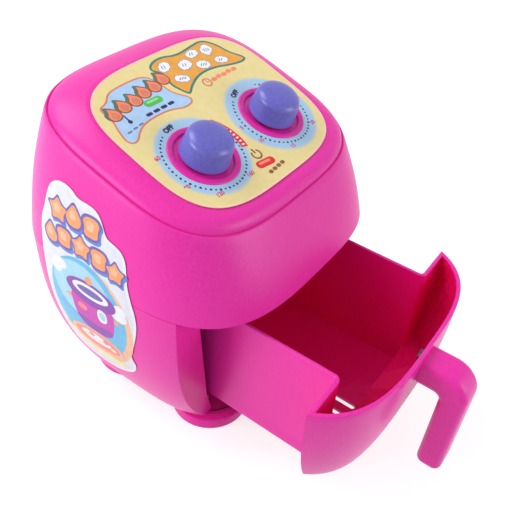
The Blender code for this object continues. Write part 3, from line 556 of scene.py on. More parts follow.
# Printed label on the plateau: a pale yellow film with a peach rim and a soft
# blue disc round each dial, printed with scales, lamps and two picture fields.
# Its motifs are plain shapes and its captions are dashes.
LABEL_HALF_WIDTH = 0.0590
LABEL_HALF_DEPTH = 0.0457
LABEL_LOW = 0.0003
LABEL_TOP = 0.00068
COLLAR_RADIUS = 0.0186
DISC_EDGES = (0.0260, 0.0276)
DISC_FADE = 0.0030
COLLAR_GAP = 0.0001
RIM_WIDTH = 0.0009
RING_STEPS = 64
INK_LAYER = 0.00002
MM = 0.001
YELLOW = (0.88, 0.74, 0.34, 1.0)
YELLOW_DEEP = (0.85, 0.705, 0.31, 1.0)
DISC_BLUE = (0.40, 0.62, 0.84, 1.0)
PEACH = (1.0, 0.62, 0.46, 1.0)
PEACH_PALE = (1.0, 0.70, 0.55, 1.0)
INKS = {
    "navy": (0.012, 0.016, 0.10, 1.0),
    "sky": (0.42, 0.62, 0.90, 1.0),
    "rust": (0.70, 0.21, 0.13, 1.0),
    "orange": (0.84, 0.37, 0.05, 1.0),
    "teal": (0.02, 0.20, 0.18, 1.0),
    "white": (0.88, 0.90, 0.95, 1.0),
    "slate": (0.16, 0.19, 0.34, 1.0),
    "red": (0.78, 0.02, 0.03, 1.0),
    "coral": (0.95, 0.25, 0.14, 1.0),
    "green": (0.07, 0.50, 0.10, 1.0),
    "mint": (0.30, 0.72, 0.24, 1.0),
    "crimson": (0.62, 0.02, 0.14, 1.0),
    "umber": (0.28, 0.09, 0.03, 1.0),
}
COVER_SCALE = 260.0
COVER_LIMITS = (0.3, 0.7)
COVER_ROUGHNESS = 0.08
TOOTH_SCALE = 2600.0
TOOTH_ROUGHNESS = 0.05
FADED_GAIN = 1.08
FADED_LIFT = 0.01
INK_RELIEF = 0.00005
CORNER_CUT = 0.25


def printed(name, colour, pale, rough=0.34, discs=()):
    """Screen-printed ink: a hint of uneven coverage and a fine tooth, with
    soft blue discs laid over it at the places given."""
    ink = Finish(name, Specular_IOR_Level=0.4)
    where = ink.place()
    cover = ink.noise(where, COVER_SCALE, detail=3.0)
    tooth = ink.noise(where, TOOTH_SCALE, detail=1.0)
    tint = ink.blend(ink.eased(cover, *COVER_LIMITS), colour, pale)
    for middle, edge in discs:
        reach = ink.node("VectorMath", {"operation": "DISTANCE"}, {0: where, 1: middle}, "Value")
        tint = ink.blend(1.0 - ink.eased(reach, edge - DISC_FADE, edge), tint, DISC_BLUE)
    ink.feed("Base Color", tint)
    ink.feed("Roughness", rough + cover * COVER_ROUGHNESS + tooth * TOOTH_ROUGHNESS)
    ink.relief(cover * 0.6 + tooth * 0.4, strength=0.05, depth=INK_RELIEF)
    return ink.material


def ink_set(prefix, inks, rough=0.34):
    """The materials of a table of inks, in its order."""
    finishes = []
    for name, colour in inks.items():
        faded = lighter(colour, FADED_GAIN, FADED_LIFT)
        finishes.append(printed(prefix + name, colour, faded, rough))
    return finishes


def closed_edges(bm, row):
    """Edges round a closed row of points."""
    return [bm.edges.new((vert, row[(i + 1) % len(row)])) for i, vert in enumerate(row)]


def fill(bm, edges, index):
    """Fill in between closed rows of edges, with the inner ones left open."""
    for part in bmesh.ops.triangle_fill(bm, use_beauty=True, edges=edges)["geom"]:
        if isinstance(part, bmesh.types.BMFace):
            part.material_index = index


def plate(bm, outline, holes, low, high, index=0):
    """A flat closed plate between two heights, with its holes through it."""
    sides = []
    for height in (low, high):
        edges = []
        rows = []
        for loop in [outline] + holes:
            row = [bm.verts.new((x, y, height)) for x, y in loop]
            edges += closed_edges(bm, row)
            rows.append(row)
        if holes:
            fill(bm, edges, index)
        else:
            bm.faces.new(rows[0]).material_index = index
        sides.append(rows)
    for low_row, high_row in zip(*sides):
        bridge(bm, low_row, high_row, index)


def oval(x, y, half_x, half_y, count=36):
    """Points round an oval, or round a circle where both halves are alike."""
    points = []
    for i in range(count):
        angle = math.tau * i / count
        points.append((x + half_x * math.cos(angle), y + half_y * math.sin(angle)))
    return points


def softened(points, rounds=3):
    """Cut the corners of a closed outline until it is smooth."""
    near = 1.0 - CORNER_CUT
    far = CORNER_CUT
    for _ in range(rounds):
        cut = []
        for i, (x, y) in enumerate(points):
            next_x, next_y = points[(i + 1) % len(points)]
            cut.append((x * near + next_x * far, y * near + next_y * far))
            cut.append((x * far + next_x * near, y * far + next_y * near))
        points = cut
    return points


def grown(points, x, y, width, height=None):
    """A smooth outline at a place, scaled from a motif."""
    height = height or width
    return softened([(x + a * width, y + b * height) for a, b in points], 2)


def drawn_in(points, margin):
    """An outline moved in by a margin, along the middle of its corners."""
    area = 0.0
    for i, (x, y) in enumerate(points):
        next_x, next_y = points[(i + 1) % len(points)]
        area += x * next_y - next_x * y
    side = math.copysign(margin, area)
    moved = []
    for i, (x, y) in enumerate(points):
        before = points[i - 1]
        after = points[(i + 1) % len(points)]
        across_x = after[0] - before[0]
        across_y = after[1] - before[1]
        span = math.hypot(across_x, across_y)
        moved.append((x - across_y / span * side, y + across_x / span * side))
    return moved


label_slope = 1.0 / math.cos(PLATEAU_TILT)


def label_outline(inset):
    """The outline of the label's film, moved in by an inset."""
    half_width = LABEL_HALF_WIDTH - inset
    half_depth = LABEL_HALF_DEPTH - inset
    plan = squared_oval(half_width, half_depth, PLATEAU_EXPONENT, PLATEAU_CENTRE_Y)
    return [(x, y * label_slope) for x, y in plan]


discs = [((x, y, LABEL_TOP), edge) for (label, x, y), edge in zip(DIAL_SPOTS, DISC_EDGES)]
film = printed("label_film", YELLOW, YELLOW_DEEP, discs=discs)
rim_ink = printed("label_rim_ink", PEACH, PEACH_PALE)
sheet = bmesh.new()
hole_radius = COLLAR_RADIUS + COLLAR_GAP
collar_holes = [oval(x, y, hole_radius, hole_radius, RING_STEPS) for label, x, y in DIAL_SPOTS]
rim_outline = label_outline(INK_LAYER)
plate(sheet, label_outline(0.0), collar_holes, LABEL_LOW, LABEL_TOP)
plate(sheet, rim_outline, [label_outline(RIM_WIDTH)], LABEL_LOW, LABEL_TOP + INK_LAYER, 1)
dressed(
    "control_label_film", sheet, [film, rim_ink], "housing",
    ["control_label"], PLATEAU_PLACE,
)
ink_names = list(INKS)
ink_finishes = ink_set("ink_", INKS)
prints = bmesh.new()
END_STEPS = 8
BAND_STEPS = 24


def stamp(ink, points, layer):
    """Print a shape, given in millimetres on the plateau, in one ink."""
    outline = [(x * MM, y * MM) for x, y in points]
    top = LABEL_TOP + INK_LAYER * (layer + 1)
    plate(prints, outline, [], LABEL_TOP - INK_LAYER, top, ink_names.index(ink))


def round_from(x, y, radius, degrees):
    """The place at a distance and an angle from a point."""
    angle = math.radians(degrees)
    return x + radius * math.cos(angle), y + radius * math.sin(angle)


def bar(ink, x, y, length, width, degrees, layer):
    """A printed bar with round ends."""
    cosine = math.cos(math.radians(degrees))
    sine = math.sin(math.radians(degrees))
    half = max(length - width, 0.0) / 2.0
    points = []
    for end, start in ((1.0, -QUARTER_TURN), (-1.0, QUARTER_TURN)):
        for angle in angles(start, math.pi, END_STEPS):
            along = end * half + width / 2.0 * math.cos(angle)
            over = width / 2.0 * math.sin(angle)
            points.append((x + along * cosine - over * sine, y + along * sine + over * cosine))
    stamp(ink, points, layer)


def band(ink, x, y, radius, width, start, end, layer):
    """A printed band round part of a dial, from one angle to another."""
    degrees = [start + (end - start) * i / BAND_STEPS for i in range(BAND_STEPS + 1)]
    points = [round_from(x, y, radius + width / 2.0, angle) for angle in degrees]
    points += [round_from(x, y, radius - width / 2.0, angle) for angle in reversed(degrees)]
    stamp(ink, points, layer)


def draw(marks):
    """Print a table of bars and bands."""
    for shape, *sizes in marks:
        shape(*sizes)


def dashes(ink, count, place, step, length, width, degrees, layer, hop=0.0):
    """Print a row of dashes, with each second one a hop higher."""
    for i in range(count):
        x = place[0] + i * step[0]
        y = place[1] + i * step[1] + (hop if i % 2 else 0.0)
        bar(ink, x, y, length, width, degrees, layer)


def lettered(ink, text, x, y, size, degrees, layer, heavy):
    """Print a number or a short mark, centred, in the plain built-in face."""
    curve = bpy.data.curves.new("number", "FONT")
    curve.body = text
    curve.size = size * MM
    curve.align_x = "CENTER"
    curve.align_y = "CENTER"
    curve.offset = heavy * MM
    drawn = bpy.data.objects.new("number", curve)
    bpy.context.scene.collection.objects.link(drawn)
    bpy.context.view_layer.update()
    evaluated = drawn.evaluated_get(bpy.context.evaluated_depsgraph_get())
    flat = bpy.data.meshes.new_from_object(evaluated)
    top = LABEL_TOP + INK_LAYER * (layer + 1)
    turn_by = Matrix.Rotation(math.radians(degrees), 4, "Z")
    flat.transform(Matrix.Translation((x * MM, y * MM, top)) @ turn_by)
    before = len(prints.faces)
    prints.from_mesh(flat)
    prints.faces.ensure_lookup_table()
    fresh = prints.faces[before:]
    for face in fresh:
        face.material_index = ink_names.index(ink)
    walls = bmesh.ops.extrude_face_region(prints, geom=fresh)["geom"]
    lowered = [part for part in walls if isinstance(part, bmesh.types.BMVert)]
    bmesh.ops.translate(prints, verts=lowered, vec=(0.0, 0.0, -INK_LAYER * (layer + 2)))
    bpy.data.objects.remove(drawn)
    bpy.data.curves.remove(curve)
    bpy.data.meshes.remove(flat)


# The dials' scales: a dotted ring, plain numbers and the off marks
DIALS_MM = [(x / MM, y / MM) for label, x, y in DIAL_SPOTS]
NUMBERS = (
    ((153.0, "60"), (202.0, "90"), (240.0, "120"), (297.0, "160")),
    ((176.0, "5"), (205.0, "10"), (248.0, "15"), (312.0, "20"), (358.0, "30")),
)
OFF_ANGLES = (97.0, 110.0)
DOT_COUNT = 45
DOT_START = 19.0
DOT_STEP = 6.7
DOT_RING = 21.4
DOT_SIZES = (0.52, 0.66)
DOT_SIDES = 12
NUMBER_RING = 24.1
NUMBER_SIZE = 3.3
NUMBER_WEIGHT = 0.10
OFF_RING = 21.6
OFF_SIZE = 3.8
OFF_WEIGHT = 0.29
for (x, y), numbers, off_angle in zip(DIALS_MM, NUMBERS, OFF_ANGLES):
    for i in range(DOT_COUNT):
        dot_x, dot_y = round_from(x, y, DOT_RING, off_angle + DOT_START + i * DOT_STEP)
        size = DOT_SIZES[i % 2]
        stamp("navy", oval(dot_x, dot_y, size, size, DOT_SIDES), 0)
    for angle, text in numbers:
        spot = round_from(x, y, NUMBER_RING, angle)
        lettered("crimson", text, *spot, NUMBER_SIZE, 0.0, 0, NUMBER_WEIGHT)
    spot = round_from(x, y, OFF_RING, off_angle)
    lettered("navy", "OFF", *spot, OFF_SIZE, off_angle - 90.0, 0, OFF_WEIGHT)

# The red heat band beside the first dial, with pale ticks
HEAT_RING = 24.2
HEAT_WIDTH = 3.8
HEAT_ENDS = (-19.0, 34.0)
TICK_COUNT = 9
TICK_START = -15.0
TICK_SWEEP = 45.0
TICK_HALF = 1.1
TICK_LENGTH = 1.7
band("red", *DIALS_MM[0], HEAT_RING, HEAT_WIDTH, *HEAT_ENDS, 1)
for i in range(TICK_COUNT):
    angle = TICK_START + TICK_SWEEP * i / (TICK_COUNT - 1)
    band("white", *DIALS_MM[0], HEAT_RING, TICK_LENGTH, angle - TICK_HALF, angle + TICK_HALF, 2)

# Power mark, a red lamp and a green one with their paler crowns, and a
# caption. A bar is its ink, place, length, width, angle and layer, and a band
# is its ink, place, radius, width, first angle, last angle and layer.
draw((
    (band, "umber", -3.8, -39.9, 2.7, 1.0, -232.0, 52.0, 1),
    (bar, "umber", -3.8, -37.6, 3.4, 1.0, 90.0, 1),
    (bar, "red", -4.0, -46.2, 12.6, 4.6, -8.0, 1),
    (bar, "coral", -4.3, -45.6, 8.0, 1.5, -8.0, 2),
    (bar, "green", -23.2, 13.6, 12.0, 4.4, -2.0, 3),
    (bar, "mint", -23.4, 14.2, 7.8, 1.4, -2.0, 4),
))
dashes("umber", 4, place=(-6.4, -51.8), step=(3.5, 0.2), length=3.0, width=2.2, degrees=-4.0, layer=1)

# Blue picture field with its rust outline
BLUE_FIELD = (
    (-51.5, 23.5), (-45.0, 24.5), (-40.0, 29.5), (-28.0, 30.5), (-14.0, 30.0), (-10.5, 22.0),
    (-9.5, 13.0), (-3.0, 6.5), (-4.5, 2.5), (-12.0, 1.5), (-20.0, 4.8), (-33.0, 5.2),
    (-42.0, 3.5), (-50.0, -3.0), (-55.0, 0.0), (-53.0, 8.5), (-50.5, 15.0),
)
BLUE_MARGIN = 1.0
field_line = softened(BLUE_FIELD)
stamp("rust", field_line, 0)
stamp("sky", drawn_in(field_line, BLUE_MARGIN), 1)
# A row of plain coral flames, with a dark edge, a teal cast and a rust heart
FLAME = (
    (-2.6, -3.0), (-3.0, 0.2), (-1.6, 1.6), (-1.2, 4.4),
    (1.4, 2.6), (3.0, 0.4), (2.6, -2.8), (0.0, -4.2),
)
FLAME_COUNT = 6
FLAME_PLACE = (-47.0, 17.0)
FLAME_STEP = (8.0, 1.15)
FLAME_HOP = 0.7
FLAME_SIZE = (1.42, 1.22)
FLAME_EDGE = 0.8
FLAME_CAST = 0.9
HEART_DROP = 0.9
HEART_SIZE = (0.85, 0.7)
HEART_EDGE = 0.2
for i in range(FLAME_COUNT):
    x = FLAME_PLACE[0] + FLAME_STEP[0] * i
    y = FLAME_PLACE[1] + FLAME_STEP[1] * i + (FLAME_HOP if i % 2 else 0.0)
    flame = grown(FLAME, x, y, *FLAME_SIZE)
    stamp("teal", [(a - FLAME_CAST, b + FLAME_CAST) for a, b in flame], 2)
    stamp("umber", flame, 3)
    stamp("coral", drawn_in(flame, FLAME_EDGE), 4)
    stamp("rust", drawn_in(grown(FLAME, x, y - HEART_DROP, *HEART_SIZE), HEART_EDGE), 5)
# Thermometer mark and two rows of dashes for its captions
BULB = (-43.4, 9.4, 1.2, 1.2, 20)
bar("navy", -43.4, 12.0, 4.6, 0.9, 90.0, 2)
stamp("navy", oval(*BULB), 2)
dashes("navy", 4, place=(-31.6, 8.2), step=(5.2, 0.0), length=4.2, width=1.9, degrees=0.0, layer=2)
dashes("slate", 3, place=(-48.4, 4.6), step=(4.2, 0.5), length=3.2, width=1.1, degrees=4.0, layer=2)

# Orange picture field with its teal outline and plain kitchen shapes
ORANGE_FIELD = (
    (-5.0, 34.5), (4.0, 36.0), (14.0, 32.6), (26.0, 34.0), (37.0, 35.0), (43.0, 28.0),
    (45.0, 20.0), (51.5, 12.0), (47.0, 9.6), (37.0, 11.4), (26.0, 14.8), (14.0, 15.0),
    (4.0, 11.0), (-2.0, 6.6), (-4.6, 11.5), (-6.8, 18.0), (-3.4, 25.0), (-9.0, 30.0),
)
ORANGE_MARGIN = 1.3
field_line = softened(ORANGE_FIELD)
stamp("teal", field_line, 0)
stamp("orange", drawn_in(field_line, ORANGE_MARGIN), 1)
# Each shape is its place, half length, half width and angle
SHAPES = (
    (0.6, 28.8, 4.62, 3.22, 20.0), (3.0, 17.8, 4.62, 2.76, -25.0), (12.6, 24.6, 4.62, 3.335, 10.0),
    (22.4, 19.8, 4.62, 3.335, -15.0), (22.8, 28.9, 4.62, 2.76, 5.0), (33.2, 27.4, 4.29, 3.565, 30.0),
    (35.4, 17.6, 4.62, 2.76, -20.0),
)
SHAPE_EXPONENTS = (2.0, 2.5, 3.0)
SHAPE_STEPS = 40
SHAPE_EDGE = 0.32
WAVE_HEIGHT = 0.25
WAVE_RATE = 2.2
STRIPE_SHIFT = (-1.3, 0.3)
STRIPE_STEP = (1.5, -0.4)
STRIPE_LENGTH = 2.3
STRIPE_WIDTH = 0.5
STRIPE_TURN = 50.0
for i, (x, y, half_long, half_wide, degrees) in enumerate(SHAPES):
    turn_by = Matrix.Rotation(math.radians(degrees), 2)
    plan = squared_oval(half_long, half_wide, SHAPE_EXPONENTS[i % 3], count=SHAPE_STEPS)
    shape = []
    for a, b in plan:
        moved = turn_by @ Vector((a, b + WAVE_HEIGHT * math.sin(WAVE_RATE * a + i)))
        shape.append((x + moved.x, y + moved.y))
    stamp("slate", shape, 2)
    stamp("white", drawn_in(shape, SHAPE_EDGE), 3)
    place = (x + STRIPE_SHIFT[0], y + STRIPE_SHIFT[1])
    stripe_turn = degrees + STRIPE_TURN
    dashes("slate", 2 + i % 2, place, STRIPE_STEP, STRIPE_LENGTH, STRIPE_WIDTH, stripe_turn, 4)
# Clock mark and its caption
draw((
    (band, "rust", 13.4, 9.0, 2.6, 0.9, 0.0, 359.0, 1),
    (bar, "rust", 14.2, 9.0, 1.9, 0.5, 0.0, 1),
    (bar, "rust", 13.4, 9.9, 1.9, 0.5, 90.0, 1),
))
dashes(
    "coral", 5, place=(19.0, 8.8), step=(4.2, 0.0), length=3.9, width=2.5, degrees=0.0, layer=2,
    hop=0.4,
)
dressed(
    "control_label_prints", prints, ink_finishes, "housing",
    place=PLATEAU_PLACE,
)


# Knobs: two smooth purple domes with a softly rounded shoulder. Each turns on
# its shaft through the collar, square to the tilted plateau.
KNOB_LOW = 0.0015
KNOB_RADIUS = 0.0132
KNOB_SHOULDER_RADIUS = 0.0119
KNOB_SHOULDER_HEIGHT = 0.0086
KNOB_HEIGHT = 0.0141
KNOB_CROWN_POWER = 2.0 / 2.7
KNOB_FOOT_ROUND = 0.0006
KNOB_FOOT_STEPS = 5
KNOB_SIDE_STEPS = 4
KNOB_CROWN_STEPS = 20
SHAFT_RADIUS = 0.0030
SHAFT_LOW = -0.0063
PURPLE = (0.105, 0.100, 0.50, 1.0)
PURPLE_PALE = (0.135, 0.125, 0.56, 1.0)
purple = moulded("purple_knob_plastic", PURPLE, PURPLE_PALE, rough=0.30, gloss=0.55)
for label, x, y in DIAL_SPOTS:
    knob = bmesh.new()
    profile = [(0.0, SHAFT_LOW), (SHAFT_RADIUS, SHAFT_LOW), (SHAFT_RADIUS, KNOB_LOW)]
    for angle in angles(0.0, QUARTER_TURN, KNOB_FOOT_STEPS):
        inset = KNOB_FOOT_ROUND * (1.0 - math.sin(angle))
        profile.append((KNOB_RADIUS - inset, KNOB_LOW + KNOB_FOOT_ROUND * (1.0 - math.cos(angle))))
    for i in range(KNOB_SIDE_STEPS + 1):
        share = i / KNOB_SIDE_STEPS
        radius = KNOB_RADIUS + (KNOB_SHOULDER_RADIUS - KNOB_RADIUS) * share
        height = KNOB_FOOT_ROUND + (KNOB_SHOULDER_HEIGHT - KNOB_FOOT_ROUND) * share
        profile.append((radius, KNOB_LOW + height))
    for angle in angles(0.0, QUARTER_TURN, KNOB_CROWN_STEPS)[1:-1]:
        radius = KNOB_SHOULDER_RADIUS * math.cos(angle) ** KNOB_CROWN_POWER
        rise = (KNOB_HEIGHT - KNOB_SHOULDER_HEIGHT) * math.sin(angle) ** KNOB_CROWN_POWER
        profile.append((radius, KNOB_LOW + KNOB_SHOULDER_HEIGHT + rise))
    profile.append((0.0, KNOB_LOW + KNOB_HEIGHT))
    turned(knob, profile)
    spot = PLATEAU_PLACE @ Matrix.Translation((x, y, 0.0))
    dressed(label + "_knob_dome", knob, [purple], label + "_knob", [label + "_knob"], spot)


# Side label: a die-cut sticker on the left wall, white edged, printed with two
# rows of plain orange shapes above a blue field with a pot and a plate.
STICKER_LIFT = 0.0003
STICKER_THICKNESS = 0.0004
STICKER_LAYERS = 12
WALL_STEP = 0.0015
STICKER_OUTLINE = (
    (26.4, 158.0), (21.2, 159.0), (15.8, 157.8), (11.5, 154.6), (6.5, 154.4), (1.2, 153.8),
    (-2.6, 151.3), (-4.9, 147.4), (-7.4, 141.6), (-12.2, 140.4), (-17.2, 138.4), (-20.0, 134.0),
    (-20.8, 126.6), (-21.4, 119.2), (-23.9, 111.1), (-26.0, 102.7), (-26.1, 92.6), (-22.6, 77.8),
    (-18.9, 67.2), (-22.4, 60.8), (-18.1, 51.2), (-5.8, 42.6), (6.9, 38.8), (21.3, 40.9),
    (29.1, 46.0), (35.0, 56.4), (39.6, 68.9), (42.2, 82.4), (42.6, 96.1), (41.4, 110.2),
    (41.6, 121.0), (40.2, 132.0), (36.6, 139.6), (34.4, 147.9), (31.4, 154.4),
)


def wall_x(y, z):
    """Outer surface of the left wall at a depth and height."""
    if z < SPLIT_Z:
        half_width, half_depth = lower_sizes(z)
        return -half_width * (1.0 - (abs(y) / half_depth) ** BODY_EXPONENT) ** (1.0 / BODY_EXPONENT)
    share = (z - SPLIT_Z) / (crease_z(y) - SPLIT_Z)
    half_width, half_depth, exponent = hood_sizes(share)
    inside = 1.0 - (abs(y - CREASE_CENTRE_Y * share) / half_depth) ** exponent
    return -half_width * inside ** (1.0 / exponent)


def on_wall(bm, outline, low, high, index):
    """A closed patch that follows the left wall, between two lifts off it."""
    middle_y = sum(y for y, z in outline) / len(outline)
    middle_z = sum(z for y, z in outline) / len(outline)
    reach = max(math.hypot(y - middle_y, z - middle_z) for y, z in outline)
    rings = math.ceil(reach / WALL_STEP)
    layers = []
    for lift in (low, high):
        rows = []
        for k in range(rings):
            share = 1.0 - k / rings
            row = []
            for y, z in outline:
                ring_y = middle_y + (y - middle_y) * share
                ring_z = middle_z + (z - middle_z) * share
                row.append(bm.verts.new((wall_x(ring_y, ring_z) - lift, ring_y, ring_z)))
            rows.append(row)
        middle = bm.verts.new((wall_x(middle_y, middle_z) - lift, middle_y, middle_z))
        for first, second in zip(rows, rows[1:]):
            bridge(bm, first, second, index)
        for i, vert in enumerate(rows[-1]):
            after = rows[-1][(i + 1) % len(rows[-1])]
            bm.faces.new((vert, after, middle)).material_index = index
        layers.append(rows[0])
    bridge(bm, *layers, index)


STICKER_INKS = {
    "milk": (0.70, 0.71, 0.82, 1.0),
    "snow": (0.78, 0.80, 0.86, 1.0),
    "apricot": (0.83, 0.33, 0.13, 1.0),
    "peach": (0.84, 0.47, 0.30, 1.0),
    "violet": (0.15, 0.10, 0.42, 1.0),
    "azure": (0.10, 0.22, 0.66, 1.0),
    "aqua": (0.13, 0.46, 0.74, 1.0),
    "ice": (0.36, 0.64, 0.80, 1.0),
    "magenta": (0.56, 0.04, 0.42, 1.0),
    "plum": (0.24, 0.04, 0.40, 1.0),
    "rose": (0.84, 0.22, 0.24, 1.0),
    "lemon": (0.82, 0.72, 0.36, 1.0),
}
sticker_names = list(STICKER_INKS)
sticker_finishes = ink_set("sticker_", STICKER_INKS, rough=0.3)
sticker = bmesh.new()


def patch(ink, points, layer):
    """Print a shape, given in millimetres on the wall, in one ink."""
    high = STICKER_LIFT + STICKER_THICKNESS - INK_LAYER * (STICKER_LAYERS - layer)
    low = STICKER_LIFT if layer == 0 else high - INK_LAYER * 2.0
    outline = []
    for i, (y, z) in enumerate(points):
        next_y, next_z = points[(i + 1) % len(points)]
        steps = math.ceil(math.hypot(next_y - y, next_z - z) * MM / WALL_STEP)
        for k in range(steps):
            share = k / steps
            outline.append(((y + (next_y - y) * share) * MM, (z + (next_z - z) * share) * MM))
    on_wall(sticker, outline, low, high, sticker_names.index(ink))


STICKER_MARGIN = 1.6
outer = softened(STICKER_OUTLINE, 2)
patch("snow", outer, 0)
patch("milk", drawn_in(outer, STICKER_MARGIN), 1)
# Two rows of plain orange shapes with a violet edge and a blue cast. Each
# is its motif, place and size.
STAR_RADII = (1.12, 0.62)
STAR_POINTS = 10
STAR = []
for i in range(STAR_POINTS):
    angle = math.tau * i / STAR_POINTS
    STAR.append((math.sin(angle) * STAR_RADII[i % 2], math.cos(angle) * STAR_RADII[i % 2]))
DROP = (
    (0.0, 1.2), (0.5, 0.55), (0.95, -0.1), (0.7, -0.85),
    (0.0, -1.05), (-0.7, -0.85), (-0.95, -0.1), (-0.5, 0.55),
)
BUN = (
    (-1.0, 0.5), (-0.6, 1.0), (0.6, 1.0), (1.0, 0.5),
    (0.75, 0.0), (0.85, -0.95), (-0.85, -0.95), (-0.75, 0.0),
)
MOTIF_ROWS = (
    (STAR, 25.4, 142.6, 7.2), (DROP, 14.0, 143.8, 6.2), (BUN, 2.2, 142.6, 6.0),
    (DROP, 31.8, 126.6, 5.8), (BUN, 21.4, 128.0, 5.8), (STAR, 9.4, 128.2, 7.0),
    (BUN, -2.8, 126.8, 5.9), (STAR, -13.6, 124.4, 6.4),
)
CAST_SHIFT = (1.0, 1.3)
CAST_GROWTH = 1.3
EDGE_GROWTH = 1.2
FACE_INSET = 0.3
SHINE_SHIFT = (0.6, 0.8)
SHINE_SHARE = 0.45
for motif, y, z, size in MOTIF_ROWS:
    cast = grown(motif, y - CAST_SHIFT[0], z - CAST_SHIFT[1], size + CAST_GROWTH)
    shine = grown(motif, y + SHINE_SHIFT[0], z + SHINE_SHIFT[1], size * SHINE_SHARE)
    patch("azure", cast, 2)
    patch("violet", grown(motif, y, z, size + EDGE_GROWTH), 3)
    patch("apricot", grown(motif, y, z, size - FACE_INSET), 4)
    patch("peach", shine, 5)
# Blue field with a peach rim and pale clouds, then a magenta pot with its plum
# lid, a white window and orange handles, then a peach plate of pale and rosy
# slices on a yellow sweep. Each is its ink, its outline and its layer.
POT = (
    (21.0, 97.0), (20.6, 84.0), (17.0, 73.0), (4.5, 70.0),
    (-7.0, 73.0), (-10.4, 84.0), (-10.6, 97.0), (5.0, 98.4),
)
POT_SHADE = ((20.0, 79.5), (16.4, 73.4), (4.5, 70.4), (-6.6, 73.4), (-9.4, 80.5), (4.6, 77.0))
WINDOW = ((1.6, 93.0), (-5.6, 92.4), (-5.2, 83.6), (1.8, 82.4))
SWEEP = (
    (35.0, 63.0), (26.0, 55.0), (12.0, 48.8), (-2.0, 47.6), (-15.8, 51.4),
    (-14.0, 55.6), (0.0, 53.4), (14.0, 55.6), (27.0, 61.4),
)
PICTURE = (
    ("peach", oval(6.6, 84.4, 29.6, 35.4), 2),
    ("aqua", oval(9.4, 86.6, 28.2, 33.6), 3),
    ("ice", oval(12.0, 97.0, 22.0, 20.0), 4),
    ("snow", oval(-15.6, 101.0, 4.4, 3.2, 24), 5),
    ("snow", oval(-14.6, 96.4, 5.6, 4.2, 24), 5),
    ("snow", oval(26.5, 110.0, 5.2, 3.6, 24), 5),
    ("snow", oval(30.0, 106.4, 4.2, 4.4, 24), 5),
    ("apricot", oval(5.2, 90.0, 20.4, 2.6), 5),
    ("magenta", softened(POT, 2), 6),
    ("plum", softened(POT_SHADE, 2), 7),
    ("plum", oval(5.2, 99.6, 18.0, 8.4), 7),
    ("snow", oval(5.2, 101.2, 13.0, 4.8), 8),
    ("violet", oval(5.2, 101.2, 9.4, 2.6), 9),
    ("apricot", oval(5.2, 109.4, 2.6, 2.6, 20), 8),
    ("snow", softened(WINDOW, 2), 8),
    ("ice", oval(-2.0, 88.0, 2.2, 3.0, 20), 9),
    ("rose", oval(13.0, 86.6, 3.6, 2.4, 20), 8),
    ("lemon", softened(SWEEP, 2), 8),
    ("peach", oval(6.4, 62.6, 20.2, 8.6), 9),
    ("rose", oval(6.4, 63.0, 17.2, 6.4), 10),
    ("snow", oval(7.4, 64.0, 11.4, 3.8), 11),
    ("lemon", oval(15.0, 62.6, 2.3, 1.5, 16), 12),
    ("rose", oval(10.2, 65.6, 2.3, 1.5, 16), 12),
    ("lemon", oval(4.6, 62.4, 2.3, 1.5, 16), 12),
    ("rose", oval(-0.4, 65.4, 2.3, 1.5, 16), 12),
    ("lemon", oval(-5.6, 62.4, 2.3, 1.5, 16), 12),
)
for ink, outline, layer in PICTURE:
    patch(ink, outline, layer)
dressed(
    "side_label_sticker", sticker, sticker_finishes, "housing",
    ["side_label"],
)


# Drawer: one pink moulding, a straight-walled basket whose sides turn out
# through a round corner into a wider curved front. The basket floor is lower
# than the front's and is slotted. Shown pulled out, as in the photograph.
# The inside of the drawer is painted a deeper red than its outside: painted shade for the shade and
# red bounce inside it.
PAINTED_SHADE_DEEP_RED = (0.93, 0.004, 0.19, 1.0)
PAINTED_SHADE_INSIDE_RED = (0.96, 0.005, 0.25, 1.0)
# The bay behind the front is painted darker still: painted shade nearest the panel.
PAINTED_SHADE_BAY_RED = (0.62, 0.002, 0.05, 1.0)
DRAWER_PULL = 0.0700
DRAWER_HALF_WIDTH = 0.04735
DRAWER_WALL = 0.0020
DRAWER_TOP_Z = 0.0976
DRAWER_BOTTOM_Z = 0.0246
BASKET_FRONT_LEVELS = (DRAWER_BOTTOM_Z, 0.0285, 0.0325)
BASKET_INNER_LEVELS = (0.0345, 0.0305)
DRAWER_REAR_Y = 0.0500
DRAWER_REAR_ROUND = 0.0080
DRAWER_STEP_Y = -0.0550
DRAWER_STEP_ROUND = 0.0022
PANEL_SHARE = 0.97
PANEL_BOTTOM_Z = 0.0364
PANEL_FLANGE_Y = -0.0514
PANEL_WALL = 0.0022
PANEL_INNER_ROUND = 0.0040
RIM_ROUND = 0.0008
SLOT_WIDTH = 0.0036
SLOT_PLACES = (-0.0130, -0.0040)
SLOT_FRONT_Y = -0.0480
SLOT_REAR_Y = -0.0355
SLOT_END_STEPS = 8
DRAWER_PLACE = IN_PLACE @ Matrix.Translation((0.0, -DRAWER_PULL, 0.0))
DRAWER_EDGE_ROUND = 0.0006
DRAWER_ROWS = 16
CORNER_STEPS = 8
REAR_CORNER_STEPS = 10
RIM_STEPS = 8
FRONT_POINTS = 121
FRONT_GAP = 0.00002
INSIDE_PAINTED_SHADE_INDEX = 1
BAY_PAINTED_SHADE_INDEX = 2


def rear_corner(inset):
    """The rounded rear right corner, from the middle of the back round."""
    radius = DRAWER_REAR_ROUND - inset
    points = []
    for angle in reversed(angles(0.0, QUARTER_TURN, REAR_CORNER_STEPS)):
        x = DRAWER_HALF_WIDTH - inset - radius + radius * math.cos(angle)
        y = DRAWER_REAR_Y - inset - radius + radius * math.sin(angle)
        points.append((x, y))
    return points


